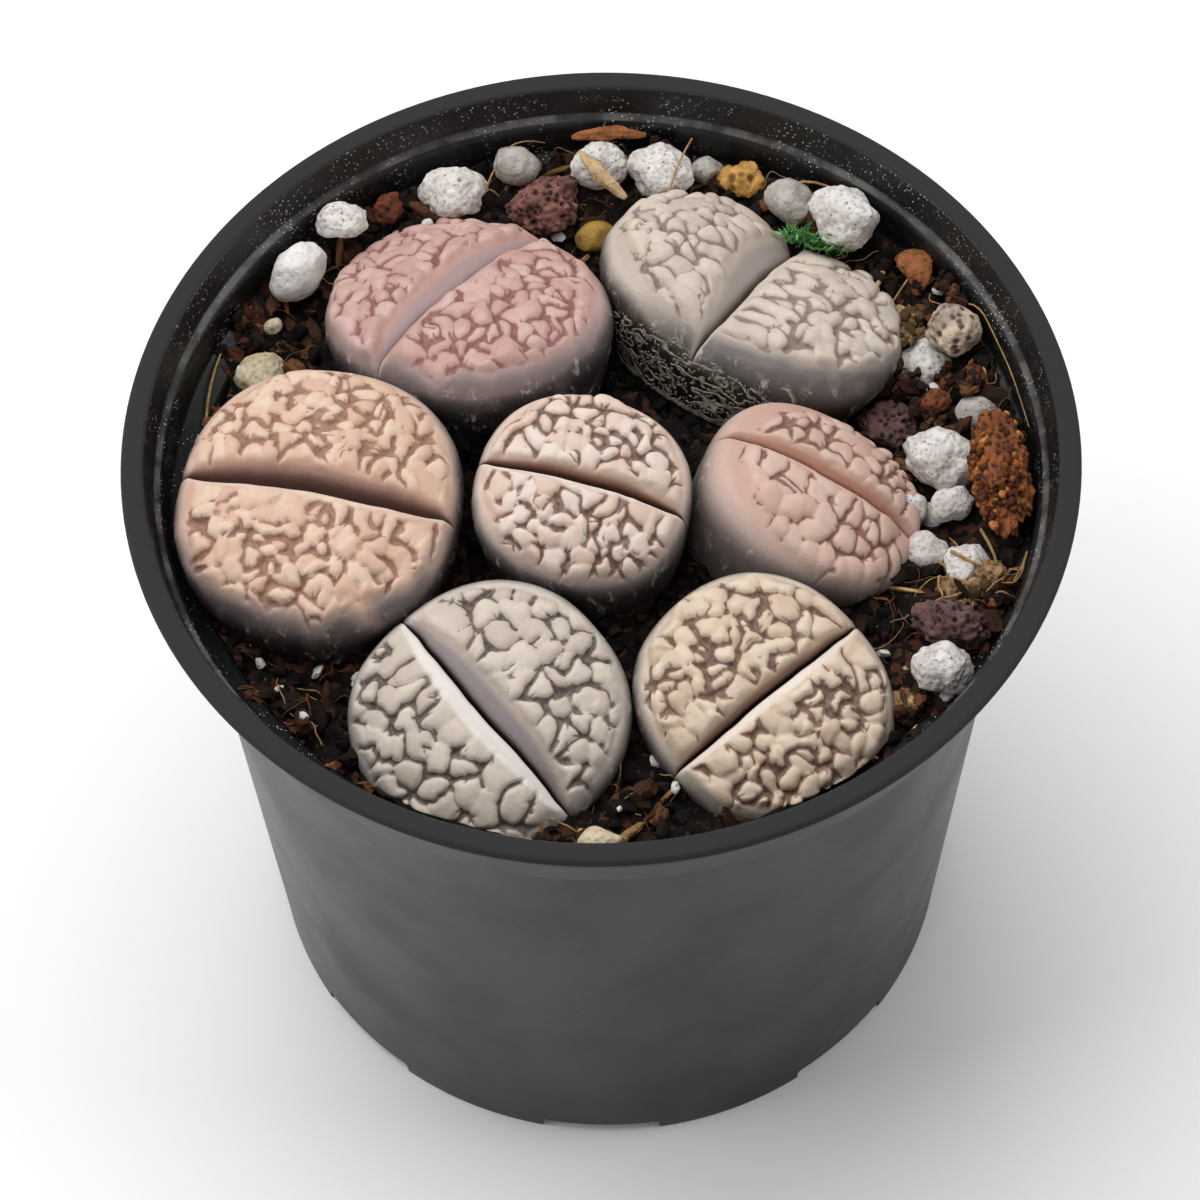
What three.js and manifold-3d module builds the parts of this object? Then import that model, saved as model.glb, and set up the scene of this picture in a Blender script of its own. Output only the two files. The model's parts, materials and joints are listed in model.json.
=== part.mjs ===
// A round nursery pot planted with seven lithops (living stones), bedded in potting soil and
// top-dressed with pumice, lava gravel and bark. Millimetres, +Z up. The origin is the centre of
// the circle that the pot stands on, and the heads face up with the pot's front towards -Y.
import * as THREE from "three";
import { mergeVertices } from "three/addons/utils/BufferGeometryUtils.js";
import Module from "manifold-3d";

const wasm = await Module();
wasm.setup();

// ---- driving dimensions, in millimetres and degrees ----
const RIM_RADIUS = 50; // a 10 cm pot
const POT_HEIGHT = 82.3;
const BASE_RADIUS = 39.1;
const BODY_TOP_RADIUS = 44;
const COLLAR_HEIGHT = 8.5; // the thicker band under the flange
const WALL = 1; // the pot's wall
const FLOOR_LEVEL = 2.5;
const POT_SIDES = 48;
const NOTCHES = 8; // in the foot ring
const NOTCH_WIDTH = 13.4;
const NOTCH_HEIGHT = 1.8;
const NOTCH_START = -92.5; // where the front notch is centred
const DRAIN_RADIUS = 3;
const DRAIN_CIRCLE = 29;
const CLEAR = 0.35; // between pieces that touch
const SOIL_DEPTH = 13.2; // from the rim down to the soil among the heads
const BODY_SIDES = 36; // points round a head
const HOLE_SIDES = 20; // points round a planting hole
const GROOVE_DEPTH = 0.55; // of the net between the islands
const ISLAND_CROWN = 0.4; // how far an island's middle stands out
const ISLAND_SPACING = 3.3;
const SQUARENESS = 2.2; // exponent of the heads' superellipse outline

// ---- small helpers ----
const radians = THREE.MathUtils.degToRad;

// A seeded generator of numbers from 0 to 1 (mulberry32).
function generator(seed) {
  let state = seed >>> 0;
  return () => {
    state = (state + 0x6d2b79f5) >>> 0;
    let mixed = Math.imul(state ^ (state >>> 15), 1 | state);
    mixed = (mixed + Math.imul(mixed ^ (mixed >>> 7), 61 | mixed)) ^ mixed;
    return ((mixed ^ (mixed >>> 14)) >>> 0) / 4294967296;
  };
}

// Blends from 0 to 1 as value goes from low to high.
function blend(value, low, high) {
  return THREE.MathUtils.smoothstep(value, low, high);
}

// Reads a table of [key, value] rows, with keys that rise, at a key between them.
function tableAt(table, key) {
  if (key <= table[0][0]) return table[0][1];
  for (let i = 1; i < table.length; i++) {
    const [k0, v0] = table[i - 1];
    const [k1, v1] = table[i];
    if (key <= k1) return v0 + ((v1 - v0) * (key - k0)) / (k1 - k0);
  }
  return table[table.length - 1][1];
}

// A closed geometry as a manifold solid, with shared vertices merged.
function solidOf(geometry) {
  const bare = geometry.index ? geometry.toNonIndexed() : geometry.clone();
  bare.deleteAttribute("normal");
  bare.deleteAttribute("uv");
  const merged = mergeVertices(bare, 1e-4);
  const kept = [];
  const index = merged.index.array;
  for (let i = 0; i < index.length; i += 3) {
    const [a, b, c] = index.slice(i, i + 3);
    if (a !== b && b !== c && c !== a) kept.push(a, b, c);
  }
  const mesh = new wasm.Mesh({
    numProp: 3,
    vertProperties: merged.attributes.position.array,
    triVerts: new Uint32Array(kept),
  });
  return new wasm.Manifold(mesh);
}

// The largest body of a manifold solid as a geometry: scraps that a cut leaves are dropped.
function geometryOf(solid) {
  const bodies = solid.decompose().sort((a, b) => b.volume() - a.volume());
  const mesh = bodies[0].getMesh();
  const geometry = new THREE.BufferGeometry();
  geometry.setAttribute("position", new THREE.BufferAttribute(mesh.vertProperties, 3));
  geometry.setIndex(new THREE.BufferAttribute(mesh.triVerts, 1));
  return geometry;
}

// Collects points and triangles, and turns them into a geometry.
class Surface {
  constructor() {
    this.points = [];
    this.triangles = [];
  }
  point(vector) {
    this.points.push(vector.x, vector.y, vector.z);
    return this.points.length / 3 - 1;
  }
  triangle(a, b, c) {
    if (a !== b && b !== c && c !== a) this.triangles.push(a, b, c);
  }
  quad(a, b, c, d) {
    this.triangle(a, b, c);
    this.triangle(a, c, d);
  }
  // Joins two closed rings of the same number of points, the first below the second.
  band(lower, upper) {
    const n = lower.length;
    for (let i = 0; i < n; i++) {
      const j = (i + 1) % n;
      this.quad(lower[i], lower[j], upper[j], upper[i]);
    }
  }
  // Fills a ring that runs anticlockwise, seen from outside, round a middle point.
  fan(ring, middle) {
    ring.forEach((a, i) => this.triangle(a, ring[(i + 1) % ring.length], middle));
  }
  geometry() {
    const geometry = new THREE.BufferGeometry();
    geometry.setAttribute("position", new THREE.Float32BufferAttribute(this.points, 3));
    geometry.setIndex(this.triangles);
    return geometry;
  }
}

// A closed geometry from rings of vectors, bottom first, with a middle point at each end.
function stackOfRings(rings, bottom, top) {
  const surface = new Surface();
  const indexed = rings.map((ring) => ring.map((p) => surface.point(p)));
  for (let i = 1; i < indexed.length; i++) surface.band(indexed[i - 1], indexed[i]);
  surface.fan([...indexed[0]].reverse(), surface.point(bottom));
  surface.fan(indexed[indexed.length - 1], surface.point(top));
  return surface.geometry();
}

// ---- the pot ----
// Inner wall: height from the base, and radius. A step under the rim carries a rounded bead.
const INNER_WALL = [
  [FLOOR_LEVEL + WALL + 0.2, BASE_RADIUS - WALL],
  [POT_HEIGHT - 10, BODY_TOP_RADIUS - WALL],
  [POT_HEIGHT - 9.4, BODY_TOP_RADIUS - 0.7],
  [POT_HEIGHT - 8.2, 45.5],
  [POT_HEIGHT - 4.7, 45.8],
  [POT_HEIGHT - 4.1, 46.1],
  [POT_HEIGHT - 3.6, 46.8],
  [POT_HEIGHT - 0.3, 47.5],
];

function potGeometry() {
  const step = POT_HEIGHT - COLLAR_HEIGHT;
  const outside = [
    [0, FLOOR_LEVEL],
    [BASE_RADIUS - 1.8, FLOOR_LEVEL],
    [BASE_RADIUS - 1.8, 0],
    [BASE_RADIUS, 0],
    [BODY_TOP_RADIUS, step - 0.9],
    [46.9, step - 0.2],
    [47.3, step + 0.3],
    [48.3, POT_HEIGHT - 1.5],
    [RIM_RADIUS - 0.3, POT_HEIGHT - 1.2],
    [RIM_RADIUS, POT_HEIGHT - 0.7],
    [RIM_RADIUS - 0.25, POT_HEIGHT - 0.1],
    [RIM_RADIUS - 0.6, POT_HEIGHT],
    [47.8, POT_HEIGHT],
  ];
  const inside = INNER_WALL.map(([height, radius]) => [radius, height]).reverse();
  const profile = [...outside, ...inside, [0, FLOOR_LEVEL + WALL + 0.2]];
  const points = profile.map(([radius, height]) => new THREE.Vector2(radius, height));
  const turned = new THREE.LatheGeometry(points, POT_SIDES).rotateX(Math.PI / 2);
  let pot = solidOf(turned);
  for (let i = 0; i < NOTCHES; i++) {
    const angle = radians(NOTCH_START + (i * 360) / NOTCHES);
    const notch = new THREE.BoxGeometry(8, NOTCH_WIDTH, 2 * NOTCH_HEIGHT);
    notch.translate(BASE_RADIUS, 0, 0).rotateZ(angle);
    pot = pot.subtract(solidOf(notch));
    if (i % 2) continue;
    const drain = new THREE.CylinderGeometry(DRAIN_RADIUS, DRAIN_RADIUS, 4 * WALL, 10);
    drain.rotateX(Math.PI / 2).translate(DRAIN_CIRCLE, 0, FLOOR_LEVEL).rotateZ(angle);
    pot = pot.subtract(solidOf(drain));
  }
  const middle = new THREE.CylinderGeometry(DRAIN_RADIUS, DRAIN_RADIUS, 4 * WALL, 10);
  pot = pot.subtract(solidOf(middle.rotateX(Math.PI / 2).translate(0, 0, FLOOR_LEVEL)));
  return geometryOf(pot);
}

// ---- the lithops ----
// Each head: its middle [x, y, depth under the rim], half its length along the fissure, its
// half widths on the two sides, the fissure's direction, its lean and where it leans to, how
// wide the fissure gapes, how far the two leaves spread, the seed of its islands, and how deep
// a valley runs along the fissure where the leaves have grown apart. Full heads stay wide and
// upright below the face instead of following its lean.
const HEADS = {
  rose: {
    middle: [-14.7, 22.5, -2.9], length: 14, widths: [15.2, 16.4], fissure: 49,
    lean: 17.5, towards: 110, gape: 1.5, spread: 0.6, seed: 11, colour: 0xc9aca4,
  },
  grey: {
    middle: [17.1, 23.6, -3.5], length: 11.6, widths: [15.8, 16], fissure: 54,
    lean: 15, towards: 46, gape: 1.4, spread: 2.2, valley: 1.6, seed: 23, colour: 0xbdb5a6,
  },
  peach: {
    middle: [-29.6, -5, 0], length: 14.95, widths: [15.3, 14.9], fissure: -13,
    lean: 7, towards: -99, gape: 1.5, spread: 0.6, full: 0.8, seed: 37, colour: 0xd3b095,
  },
  cream: {
    middle: [-2, -5.4, 0.7], length: 11.4, widths: [10.5, 10.1], fissure: -18,
    lean: 13.5, towards: -85, gape: 0.9, spread: 0.5, full: 0.75, seed: 41, colour: 0xd0c1b2,
  },
  taupe: {
    middle: [-12.5, -29.2, -5.5], length: 13.8, widths: [14.4, 13], fissure: -53,
    lean: 19, towards: -96, gape: 1.7, spread: 0.8, seed: 59, colour: 0xb9b0a3,
  },
  sand: {
    middle: [16.5, -27.7, -5.5], length: 12.6, widths: [13.6, 13], fissure: 40.5,
    lean: 18, towards: -80, gape: 1, spread: 0.5, seed: 67, colour: 0xcbb79c,
  },
  blush: {
    middle: [23.5, -2.5, -4.2], length: 12.2, widths: [10, 10.4], fissure: -19,
    lean: 25, towards: 3, gape: 1.1, spread: 0.5, seed: 79, colour: 0xc7a89b,
  },
};

// The side of a head: depth below its face's edge, and the share of its full outline.
const SIDE = [
  [-2.3, 0.955],
  [-4.4, 0.995],
  [-6.6, 0.975],
  [-10, 0.92],
  [-14.5, 0.83],
  [-21, 0.66],
  [-28, 0.42],
  [-35, 0.16],
];
// How much share a full head has more than that, by depth.
const FULLNESS = [
  [-35, 0.02],
  [-28, 0.05],
  [-21, 0.06],
  [-14.5, 0.075],
  [-10, 0.045],
  [-6.6, 0.015],
  [-4.4, 0],
];
const UPRIGHT_FROM = -3; // where a full head's body starts to stand upright
const FACE_EDGE = 0.9; // share of the outline where the face turns into the side
const FACE_DROP = -1.15;
const RELIEF_EDGE = 0.84; // share of the outline that the islands fill
const SEED_MARGIN = 0.05; // how far inside that edge the islands' seeds stay
const JITTER = 1.4; // of the islands' seeds
const DOME = 2.4; // how far the face bulges
const FISSURE_DEPTH = 3.4;
const FISSURE_STEPS = 8;
const TAPROOT_DEPTH = 37;
const WALL_GAP = 0.9; // between a head and the pot's wall

// The head's own axes: u along the fissure, v across it, w out of the face.
function headFrame(head) {
  const lean = radians(head.lean);
  const towards = radians(head.towards);
  const fissure = radians(head.fissure);
  const w = new THREE.Vector3(
    Math.sin(lean) * Math.cos(towards),
    Math.sin(lean) * Math.sin(towards),
    Math.cos(lean),
  );
  const u = new THREE.Vector3(Math.cos(fissure), Math.sin(fissure), 0);
  u.addScaledVector(w, -u.dot(w)).normalize();
  const v = new THREE.Vector3().crossVectors(w, u);
  const [x, y, depth] = head.middle;
  return { u, v, w, origin: new THREE.Vector3(x, y, POT_HEIGHT + depth) };
}

// A point of a head's outline at an angle round it, scaled by share.
function outlineAt(head, angle, share) {
  const power = 2 / SQUARENESS;
  const along = Math.cos(angle);
  const across = Math.sin(angle);
  const width = head.widths[across >= 0 ? 0 : 1];
  return [
    share * head.length * Math.sign(along) * Math.abs(along) ** power,
    share * width * Math.sign(across) * Math.abs(across) ** power,
  ];
}

function fullness(head, out) {
  return (head.full ?? 0) * tableAt(FULLNESS, out);
}

// A function that takes (u, v, w) of a head into the pot's frame, with its leaves spread and
// its side pressed flat where it meets the pot's wall.
function placer(head, wallGap = WALL_GAP) {
  const frame = headFrame(head);
  return (along, across, out) => {
    const opened = head.spread * blend(out, -16, 0) * blend(Math.abs(across), 0, 6);
    const moved = across + Math.sign(across) * opened;
    const upright = (head.full ?? 0) * Math.max(0, UPRIGHT_FROM - out);
    const point = frame.origin
      .clone()
      .addScaledVector(frame.u, along)
      .addScaledVector(frame.v, moved)
      .addScaledVector(frame.w, out);
    point.x += upright * frame.w.x;
    point.y += upright * frame.w.y;
    const radius = Math.hypot(point.x, point.y);
    const room = Math.min(1, (tableAt(INNER_WALL, point.z) - wallGap) / radius);
    return point.set(point.x * room, point.y * room, point.z);
  };
}

// Half the fissure's opening at a place along it.
function halfGape(head, along) {
  const share = Math.min(1, Math.abs(along) / (FACE_EDGE * head.length));
  return 0.5 * head.gape * (0.35 + 0.65 * Math.sqrt(1 - share * share)) + 0.12;
}

// The height of the smooth face, without its relief.
function faceHeight(head, along, across) {
  const width = head.widths[across >= 0 ? 0 : 1];
  const share = Math.hypot(along / head.length, across / width) / FACE_EDGE;
  const lip = -0.35 * (1 - blend(Math.abs(across), 0.5, 2.4));
  const valley = (head.valley ?? 0) * (1 - blend(Math.abs(across), 0, 7));
  return FACE_DROP + DOME * Math.max(0, 1 - share ** 2.6) + lip - valley;
}

// The part of a convex polygon that is nearer to one seed than to another.
function nearerPart(polygon, seed, other) {
  const normal = [other[0] - seed[0], other[1] - seed[1]];
  const middle = [(other[0] + seed[0]) / 2, (other[1] + seed[1]) / 2];
  const side = (p) => (p[0] - middle[0]) * normal[0] + (p[1] - middle[1]) * normal[1];
  const kept = [];
  polygon.forEach((a, i) => {
    const b = polygon[(i + 1) % polygon.length];
    const da = side(a);
    const db = side(b);
    if (da <= 0) kept.push(a);
    if (da * db < 0) {
      const t = da / (da - db);
      kept.push([a[0] + t * (b[0] - a[0]), a[1] + t * (b[1] - a[1])]);
    }
  });
  return kept;
}

// Seeds of the islands on one leaf: a jittered triangular grid inside the relief's edge.
function islandSeeds(head, side, random) {
  const seeds = [];
  const rowHeight = ISLAND_SPACING * 0.86;
  const width = head.widths[side > 0 ? 0 : 1];
  const first = 0.5 * head.gape + 0.6 + 0.5 * ISLAND_SPACING;
  for (let row = 0; first + row * rowHeight < width; row++) {
    const across = side * (first + row * rowHeight);
    for (let i = -6; i <= 6; i++) {
      const along = (i + 0.5 * (row % 2)) * ISLAND_SPACING + JITTER * (random() - 0.5);
      const jittered = across + JITTER * (random() - 0.5);
      const share = Math.hypot(along / head.length, jittered / width);
      if (share < RELIEF_EDGE - SEED_MARGIN) seeds.push([along, jittered]);
    }
  }
  return seeds;
}

// The convex region of one leaf that its islands fill, anticlockwise.
function reliefRegion(head, side) {
  const lip = 0.5 * head.gape + 0.75;
  const region = [];
  const steps = 15;
  for (let i = 0; i <= steps; i++) {
    const angle = Math.PI * (0.06 + (0.88 * i) / steps);
    const [along, across] = outlineAt(head, side * angle, RELIEF_EDGE);
    region.push([along, side * Math.max(Math.abs(across), lip)]);
  }
  return side > 0 ? region : region.reverse();
}

// Gives vertices that lie closer than a small distance one shared index.
class SharedPoints {
  constructor(tolerance) {
    this.tolerance = tolerance;
    this.list = [];
  }
  find(point) {
    const near = (q) => Math.hypot(q[0] - point[0], q[1] - point[1]) < this.tolerance;
    const found = this.list.findIndex(near);
    if (found >= 0) return found;
    this.list.push(point);
    return this.list.length - 1;
  }
}

// The closed loop of edges that only one cell uses, anticlockwise like the cells.
function borderOf(cells) {
  const next = new Map();
  const edges = new Set(cells.flatMap((c) => c.map((a, i) => a + "," + c[(i + 1) % c.length])));
  for (const edge of edges) {
    const [a, b] = edge.split(",").map(Number);
    if (!edges.has(b + "," + a)) next.set(a, b);
  }
  const loop = [next.keys().next().value];
  while (next.get(loop[loop.length - 1]) !== loop[0]) loop.push(next.get(loop[loop.length - 1]));
  return loop;
}

// Fills the strip between two loops round one middle, both anticlockwise, inner loop first.
function zip(surface, inner, outer, angleOf) {
  const turned = (loop) => {
    const sorted = loop.map((id) => ({ id, angle: angleOf(id) }));
    const start = sorted.reduce((best, p, i) => (p.angle < sorted[best].angle ? i : best), 0);
    return [...sorted.slice(start), ...sorted.slice(0, start)];
  };
  const a = turned(inner);
  const b = turned(outer);
  const at = (loop, i) => loop[i % loop.length].angle + 2 * Math.PI * Math.floor(i / loop.length);
  let i = 0;
  let j = 0;
  while (i < a.length || j < b.length) {
    const stepInner = j >= b.length || (i < a.length && at(a, i + 1) <= at(b, j + 1));
    const from = a[i % a.length].id;
    const across = b[j % b.length].id;
    if (stepInner) {
      surface.triangle(from, across, a[(i + 1) % a.length].id);
      i++;
    } else {
      surface.triangle(from, across, b[(j + 1) % b.length].id);
      j++;
    }
  }
}

// One leaf's face: pillow-like islands parted by a net of grooves, joined to the leaf's edge.
function addLeafFace(surface, head, side, place, edgeLoop, flat) {
  const random = generator(head.seed * (side > 0 ? 1 : 7));
  const region = reliefRegion(head, side);
  const shared = new SharedPoints(0.3);
  const cells = [];
  for (const seed of islandSeeds(head, side, random)) cells.push({ seed });
  const seeds = cells.map((cell) => cell.seed);
  for (const cell of cells) {
    const clip = (polygon, other) => nearerPart(polygon, cell.seed, other);
    const polygon = seeds.filter((s) => s !== cell.seed).reduce(clip, region);
    const ids = polygon.map((p) => shared.find(p));
    cell.ring = ids.filter((id, i) => id !== ids[(i + 1) % ids.length]);
  }
  const solidCells = cells.filter((cell) => cell.ring.length > 2);
  const border = borderOf(solidCells.map((cell) => cell.ring));
  const onBorder = new Set(border);
  const netPoints = shared.list.map(([along, across], id) => {
    const depth = onBorder.has(id) ? 0.2 : GROOVE_DEPTH;
    const index = surface.point(place(along, across, faceHeight(head, along, across) - depth));
    flat.set(index, [along, across]);
    return index;
  });
  for (const cell of solidCells) {
    const corners = cell.ring.map((id) => shared.list[id]);
    const middle = [0, 1].map((k) => corners.reduce((sum, p) => sum + p[k], 0) / corners.length);
    const lift = ISLAND_CROWN * (0.6 + 0.6 * random());
    const top = corners.map((p) => {
      const along = middle[0] + 0.74 * (p[0] - middle[0]);
      const across = middle[1] + 0.74 * (p[1] - middle[1]);
      return surface.point(place(along, across, faceHeight(head, along, across) + 0.2 * lift));
    });
    const height = faceHeight(head, middle[0], middle[1]) + lift;
    const crown = surface.point(place(middle[0], middle[1], height));
    const foot = cell.ring.map((id) => netPoints[id]);
    surface.band(foot, top);
    surface.fan(top, crown);
  }
  const hub = [0, side * 0.42 * head.widths[side > 0 ? 0 : 1]];
  const angleOf = (index) => {
    const [along, across] = flat.get(index);
    return Math.atan2(across - hub[1], along - hub[0]);
  };
  zip(surface, border.map((id) => netPoints[id]), edgeLoop, angleOf);
}

// A whole plant: two leaves with a fissure between them, the side, the cone and the taproot.
function lithopsGeometry(head) {
  const surface = new Surface();
  const place = placer(head);
  const flat = new Map(); // (u, v) of the points on the face
  const add = (along, across, out) => {
    const index = surface.point(place(along, across, out));
    flat.set(index, [along, across]);
    return index;
  };
  const half = BODY_SIDES / 2;
  const angleAt = (i) => (2 * Math.PI * i) / BODY_SIDES;

  // The edge of the face, without the two points on the fissure's line.
  const edge = [];
  for (let i = 0; i < BODY_SIDES; i++) {
    const [along, across] = outlineAt(head, angleAt(i), FACE_EDGE);
    edge.push(i % half ? add(along, across, FACE_DROP) : null);
  }
  // The fissure: its floor, which climbs out at both ends, and a lip on each leaf.
  const floor = [];
  const lips = { 1: [], [-1]: [] };
  for (let k = 0; k <= FISSURE_STEPS + 1; k++) {
    const share = 1 - (2 * k) / (FISSURE_STEPS + 1);
    const along = 0.93 * head.length * share;
    const depth = FISSURE_DEPTH * Math.sqrt(Math.max(0, 1 - share ** 4)) + 0.9;
    floor.push(add(along, 0, FACE_DROP - depth));
    if (k === 0 || k > FISSURE_STEPS) continue;
    for (const side of [1, -1]) {
      const inset = 0.86 * head.length * share;
      const across = side * halfGape(head, inset);
      lips[side].push(add(inset, across, faceHeight(head, inset, across)));
    }
  }
  const rightEdge = edge.slice(1, half);
  const leftEdge = edge.slice(half + 1);
  addLeafFace(surface, head, 1, place, [...rightEdge, ...[...lips[1]].reverse()], flat);
  addLeafFace(surface, head, -1, place, [...leftEdge, ...lips[-1]], flat);

  // Walls of the fissure.
  const rightWall = [rightEdge[0], ...lips[1], rightEdge[half - 2]];
  const leftWall = [leftEdge[half - 2], ...lips[-1], leftEdge[0]];
  for (let k = 0; k <= FISSURE_STEPS; k++) {
    surface.quad(rightWall[k], rightWall[k + 1], floor[k + 1], floor[k]);
    surface.quad(floor[k], floor[k + 1], leftWall[k + 1], leftWall[k]);
  }
  // The side, down to the taproot. Its first ring dips where the fissure runs out.
  const rings = SIDE.map(([out, share], level) => {
    const ring = [];
    for (let i = 0; i < BODY_SIDES; i++) {
      const [along, across] = outlineAt(head, angleAt(i), share + fullness(head, out));
      const dip = level === 0 && i % half === 0 ? 0.9 : 0;
      ring.push(add(along, across, out - dip));
    }
    return ring;
  });
  const top = [...edge];
  top[0] = floor[0];
  top[half] = floor[FISSURE_STEPS + 1];
  surface.band(rings[0], top);
  for (let i = 1; i < rings.length; i++) surface.band(rings[i], rings[i - 1]);
  surface.fan([...rings[rings.length - 1]].reverse(), add(0, 0, -TAPROOT_DEPTH));
  return surface.geometry();
}

// The hole that a plant stands in: a plainer cone round its side, let out by the clearance.
const HOLE = [
  [-35, 0.17],
  [-21, 0.69],
  [-15, 0.84],
  [-10, 0.955],
  [-3, 1.03],
  [6, 1.03],
];

function plantingHole(head) {
  const place = placer(head, -CLEAR);
  const ringAt = ([out, share]) => {
    const ring = [];
    for (let i = 0; i < HOLE_SIDES; i++) {
      const [along, across] = outlineAt(head, (2 * Math.PI * i) / HOLE_SIDES, 1);
      const size = Math.hypot(along, across);
      const wide = (share + fullness(head, out)) * size + CLEAR;
      const grown = wide / (size * Math.cos(Math.PI / HOLE_SIDES));
      ring.push(place(along * grown, across * grown, out));
    }
    return ring;
  };
  return stackOfRings(HOLE.map(ringAt), place(0, 0, -TAPROOT_DEPTH - 1), place(0, 0, 7));
}

// ---- the top dressing ----
// Each stone: [x, y, depth of its middle under the rim], half sizes, a turn about z and a seed.
const WHITE = 0xd9d6d0;
const CREAM = 0xc9bd9c;
const GREY = 0xb3aca2;
const STONES = {
  pumice_speckled: { at: [-27.6, 33, -4.2], half: [2.9, 2.2, 2.1], turn: 15, seed: 3, colour: WHITE },
  pumice_smooth: { at: [-32.4, 28, -6.4], half: [2.3, 3.6, 3.2], turn: 139, seed: 4, colour: WHITE },
  pumice_small_left: { at: [-36.6, 17.2, -10], half: [2.7, 2.3, 2], turn: 40, seed: 5, colour: CREAM },
  lava_rust: { at: [-22.9, 36.9, -7.2], half: [1.9, 1.6, 1.7], turn: 70, seed: 6, colour: 0x7a4a2c },
  pumice_round: { at: [-15.6, 38.9, -7], half: [3.6, 2.8, 2.8], turn: 10, seed: 7, colour: WHITE },
  pumice_grey: { at: [-8.6, 42.2, -6.6], half: [2.7, 2.2, 2.2], turn: 0, seed: 8, colour: GREY },
  lava_red: { at: [-5.6, 37.6, -8.6], half: [4.2, 3.3, 3.4], turn: 20, seed: 9, colour: 0x6a4038 },
  pellet_yellow: { at: [0.1, 34.2, -9.6], half: [2.3, 1.8, 1.6], turn: 10, seed: 10, colour: 0xc79a3a },
  pumice_behind: { at: [0.8, 41.9, -6.6], half: [3, 2.4, 2.6], turn: 0, seed: 12, colour: 0xc8c5bf },
  pumice_stained: { at: [7.4, 40.5, -6.3], half: [3.6, 3, 3.2], turn: -30, seed: 13, colour: WHITE },
  chip_golden: { at: [16.4, 39.8, -7], half: [2.4, 1.9, 1.9], turn: -20, seed: 14, colour: 0xa8834f },
  gravel_grey: { at: [21.4, 36.6, -7], half: [3.1, 2.2, 2.5], turn: -35, seed: 15, colour: 0x9a948b },
  pumice_large: { at: [27.2, 32.2, -4.4], half: [3.2, 3.8, 3.4], turn: 50, seed: 16, colour: WHITE },
  stone_beige: { at: [38.2, 18, -6.2], half: [2.9, 2.6, 2.5], turn: 10, seed: 18, colour: 0xa39681 },
  pumice_right: { at: [35.1, 16.3, -10.6], half: [2.8, 2.6, 2.5], turn: 60, seed: 19, colour: WHITE },
  crumb_dark: { at: [40.1, 13.3, -8.2], half: [1.4, 1.3, 1.3], turn: 0, seed: 20, colour: 0x4f4136 },
  lava_purple: { at: [31, 9.6, -12.2], half: [3.4, 2.8, 2.7], turn: -20, seed: 21, colour: 0x5b4244 },
  pumice_grey_right: { at: [40.2, 8.8, -8.6], half: [2.2, 1.8, 1.7], turn: -20, seed: 22, colour: GREY },
  pumice_broad: { at: [36.2, 3.4, -9.4], half: [4, 3.1, 3.1], turn: -35, seed: 24, colour: WHITE },
  clay_lump: { at: [41.8, -0.8, -5.7], half: [3, 7.2, 3.4], turn: 6, seed: 25, colour: 0x8a5a33 },
  pumice_upright: { at: [35.7, -1.6, -13.6], half: [2, 2.2, 2.3], turn: 10, seed: 26, colour: WHITE },
  pumice_edge: { at: [38, -9.4, -10.8], half: [2.6, 2.5, 2.5], turn: 50, seed: 28, colour: WHITE },
  lump_tan: { at: [40.4, -12.4, -8], half: [1.7, 1.6, 1.5], turn: 0, seed: 29, colour: 0x8d7050 },
  lava_long: { at: [35.8, -18.8, -7.1], half: [4.2, 2.5, 2.6], turn: -25, seed: 30, colour: 0x574049 },
  pumice_red_speck: { at: [34.4, -24.2, -7], half: [3, 2.6, 2.6], turn: -30, seed: 31, colour: WHITE },
  lump_cream: { at: [31.8, -21.2, -13.4], half: [1.6, 1.6, 1.8], turn: 0, seed: 32, colour: 0xa79b86 },
  stone_front: { at: [-1.2, -41.4, -10.4], half: [2.2, 1.4, 1.3], turn: 0, seed: 34, colour: 0xb5a78f },
};

function rockGeometry(stone, grow = 0) {
  const random = generator(stone.seed);
  const ball = mergeVertices(new THREE.IcosahedronGeometry(1, 1).deleteAttribute("normal")
    .deleteAttribute("uv"));
  const position = ball.attributes.position;
  for (let i = 0; i < position.count; i++) {
    const size = 0.9 + 0.2 * random();
    const corner = new THREE.Vector3().fromBufferAttribute(position, i).multiplyScalar(size);
    position.setXYZ(i, corner.x, corner.y, corner.z);
  }
  const [x, y, z] = stone.half.map((size) => size + grow);
  const [atX, atY, depth] = stone.at;
  ball.scale(x, y, z).rotateZ(radians(stone.turn));
  return ball.translate(atX, atY, POT_HEIGHT + depth);
}

// Sticks and strips: points along them [x, y, depth under the rim, half width, half height].
const STICKS = {
  wood_splinter: {
    colour: 0xb79a70,
    path: [
      [-1.6, 41.4, -3.4, 0.5, 0.5],
      [0.6, 38.6, -4, 0.9, 0.6],
      [3.4, 36.4, -5.6, 0.6, 0.6],
    ],
  },
  bark_root: {
    colour: 0x7d4b2a,
    path: [
      [-2.4, 44.3, -4.6, 0.5, 0.5],
      [1.6, 44.2, -3.8, 0.8, 0.7],
      [5.8, 43.6, -3.6, 0.5, 0.5],
    ],
  },
  bark_curl: {
    colour: 0x8f6b4a,
    path: [
      [32.6, 29.2, -8, 0.7, 0.5],
      [33.9, 28, -6.2, 1.6, 0.5],
      [34.9, 25.8, -6.4, 1.5, 0.5],
      [34.7, 24.2, -8.2, 0.8, 0.5],
    ],
  },
};

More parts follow.
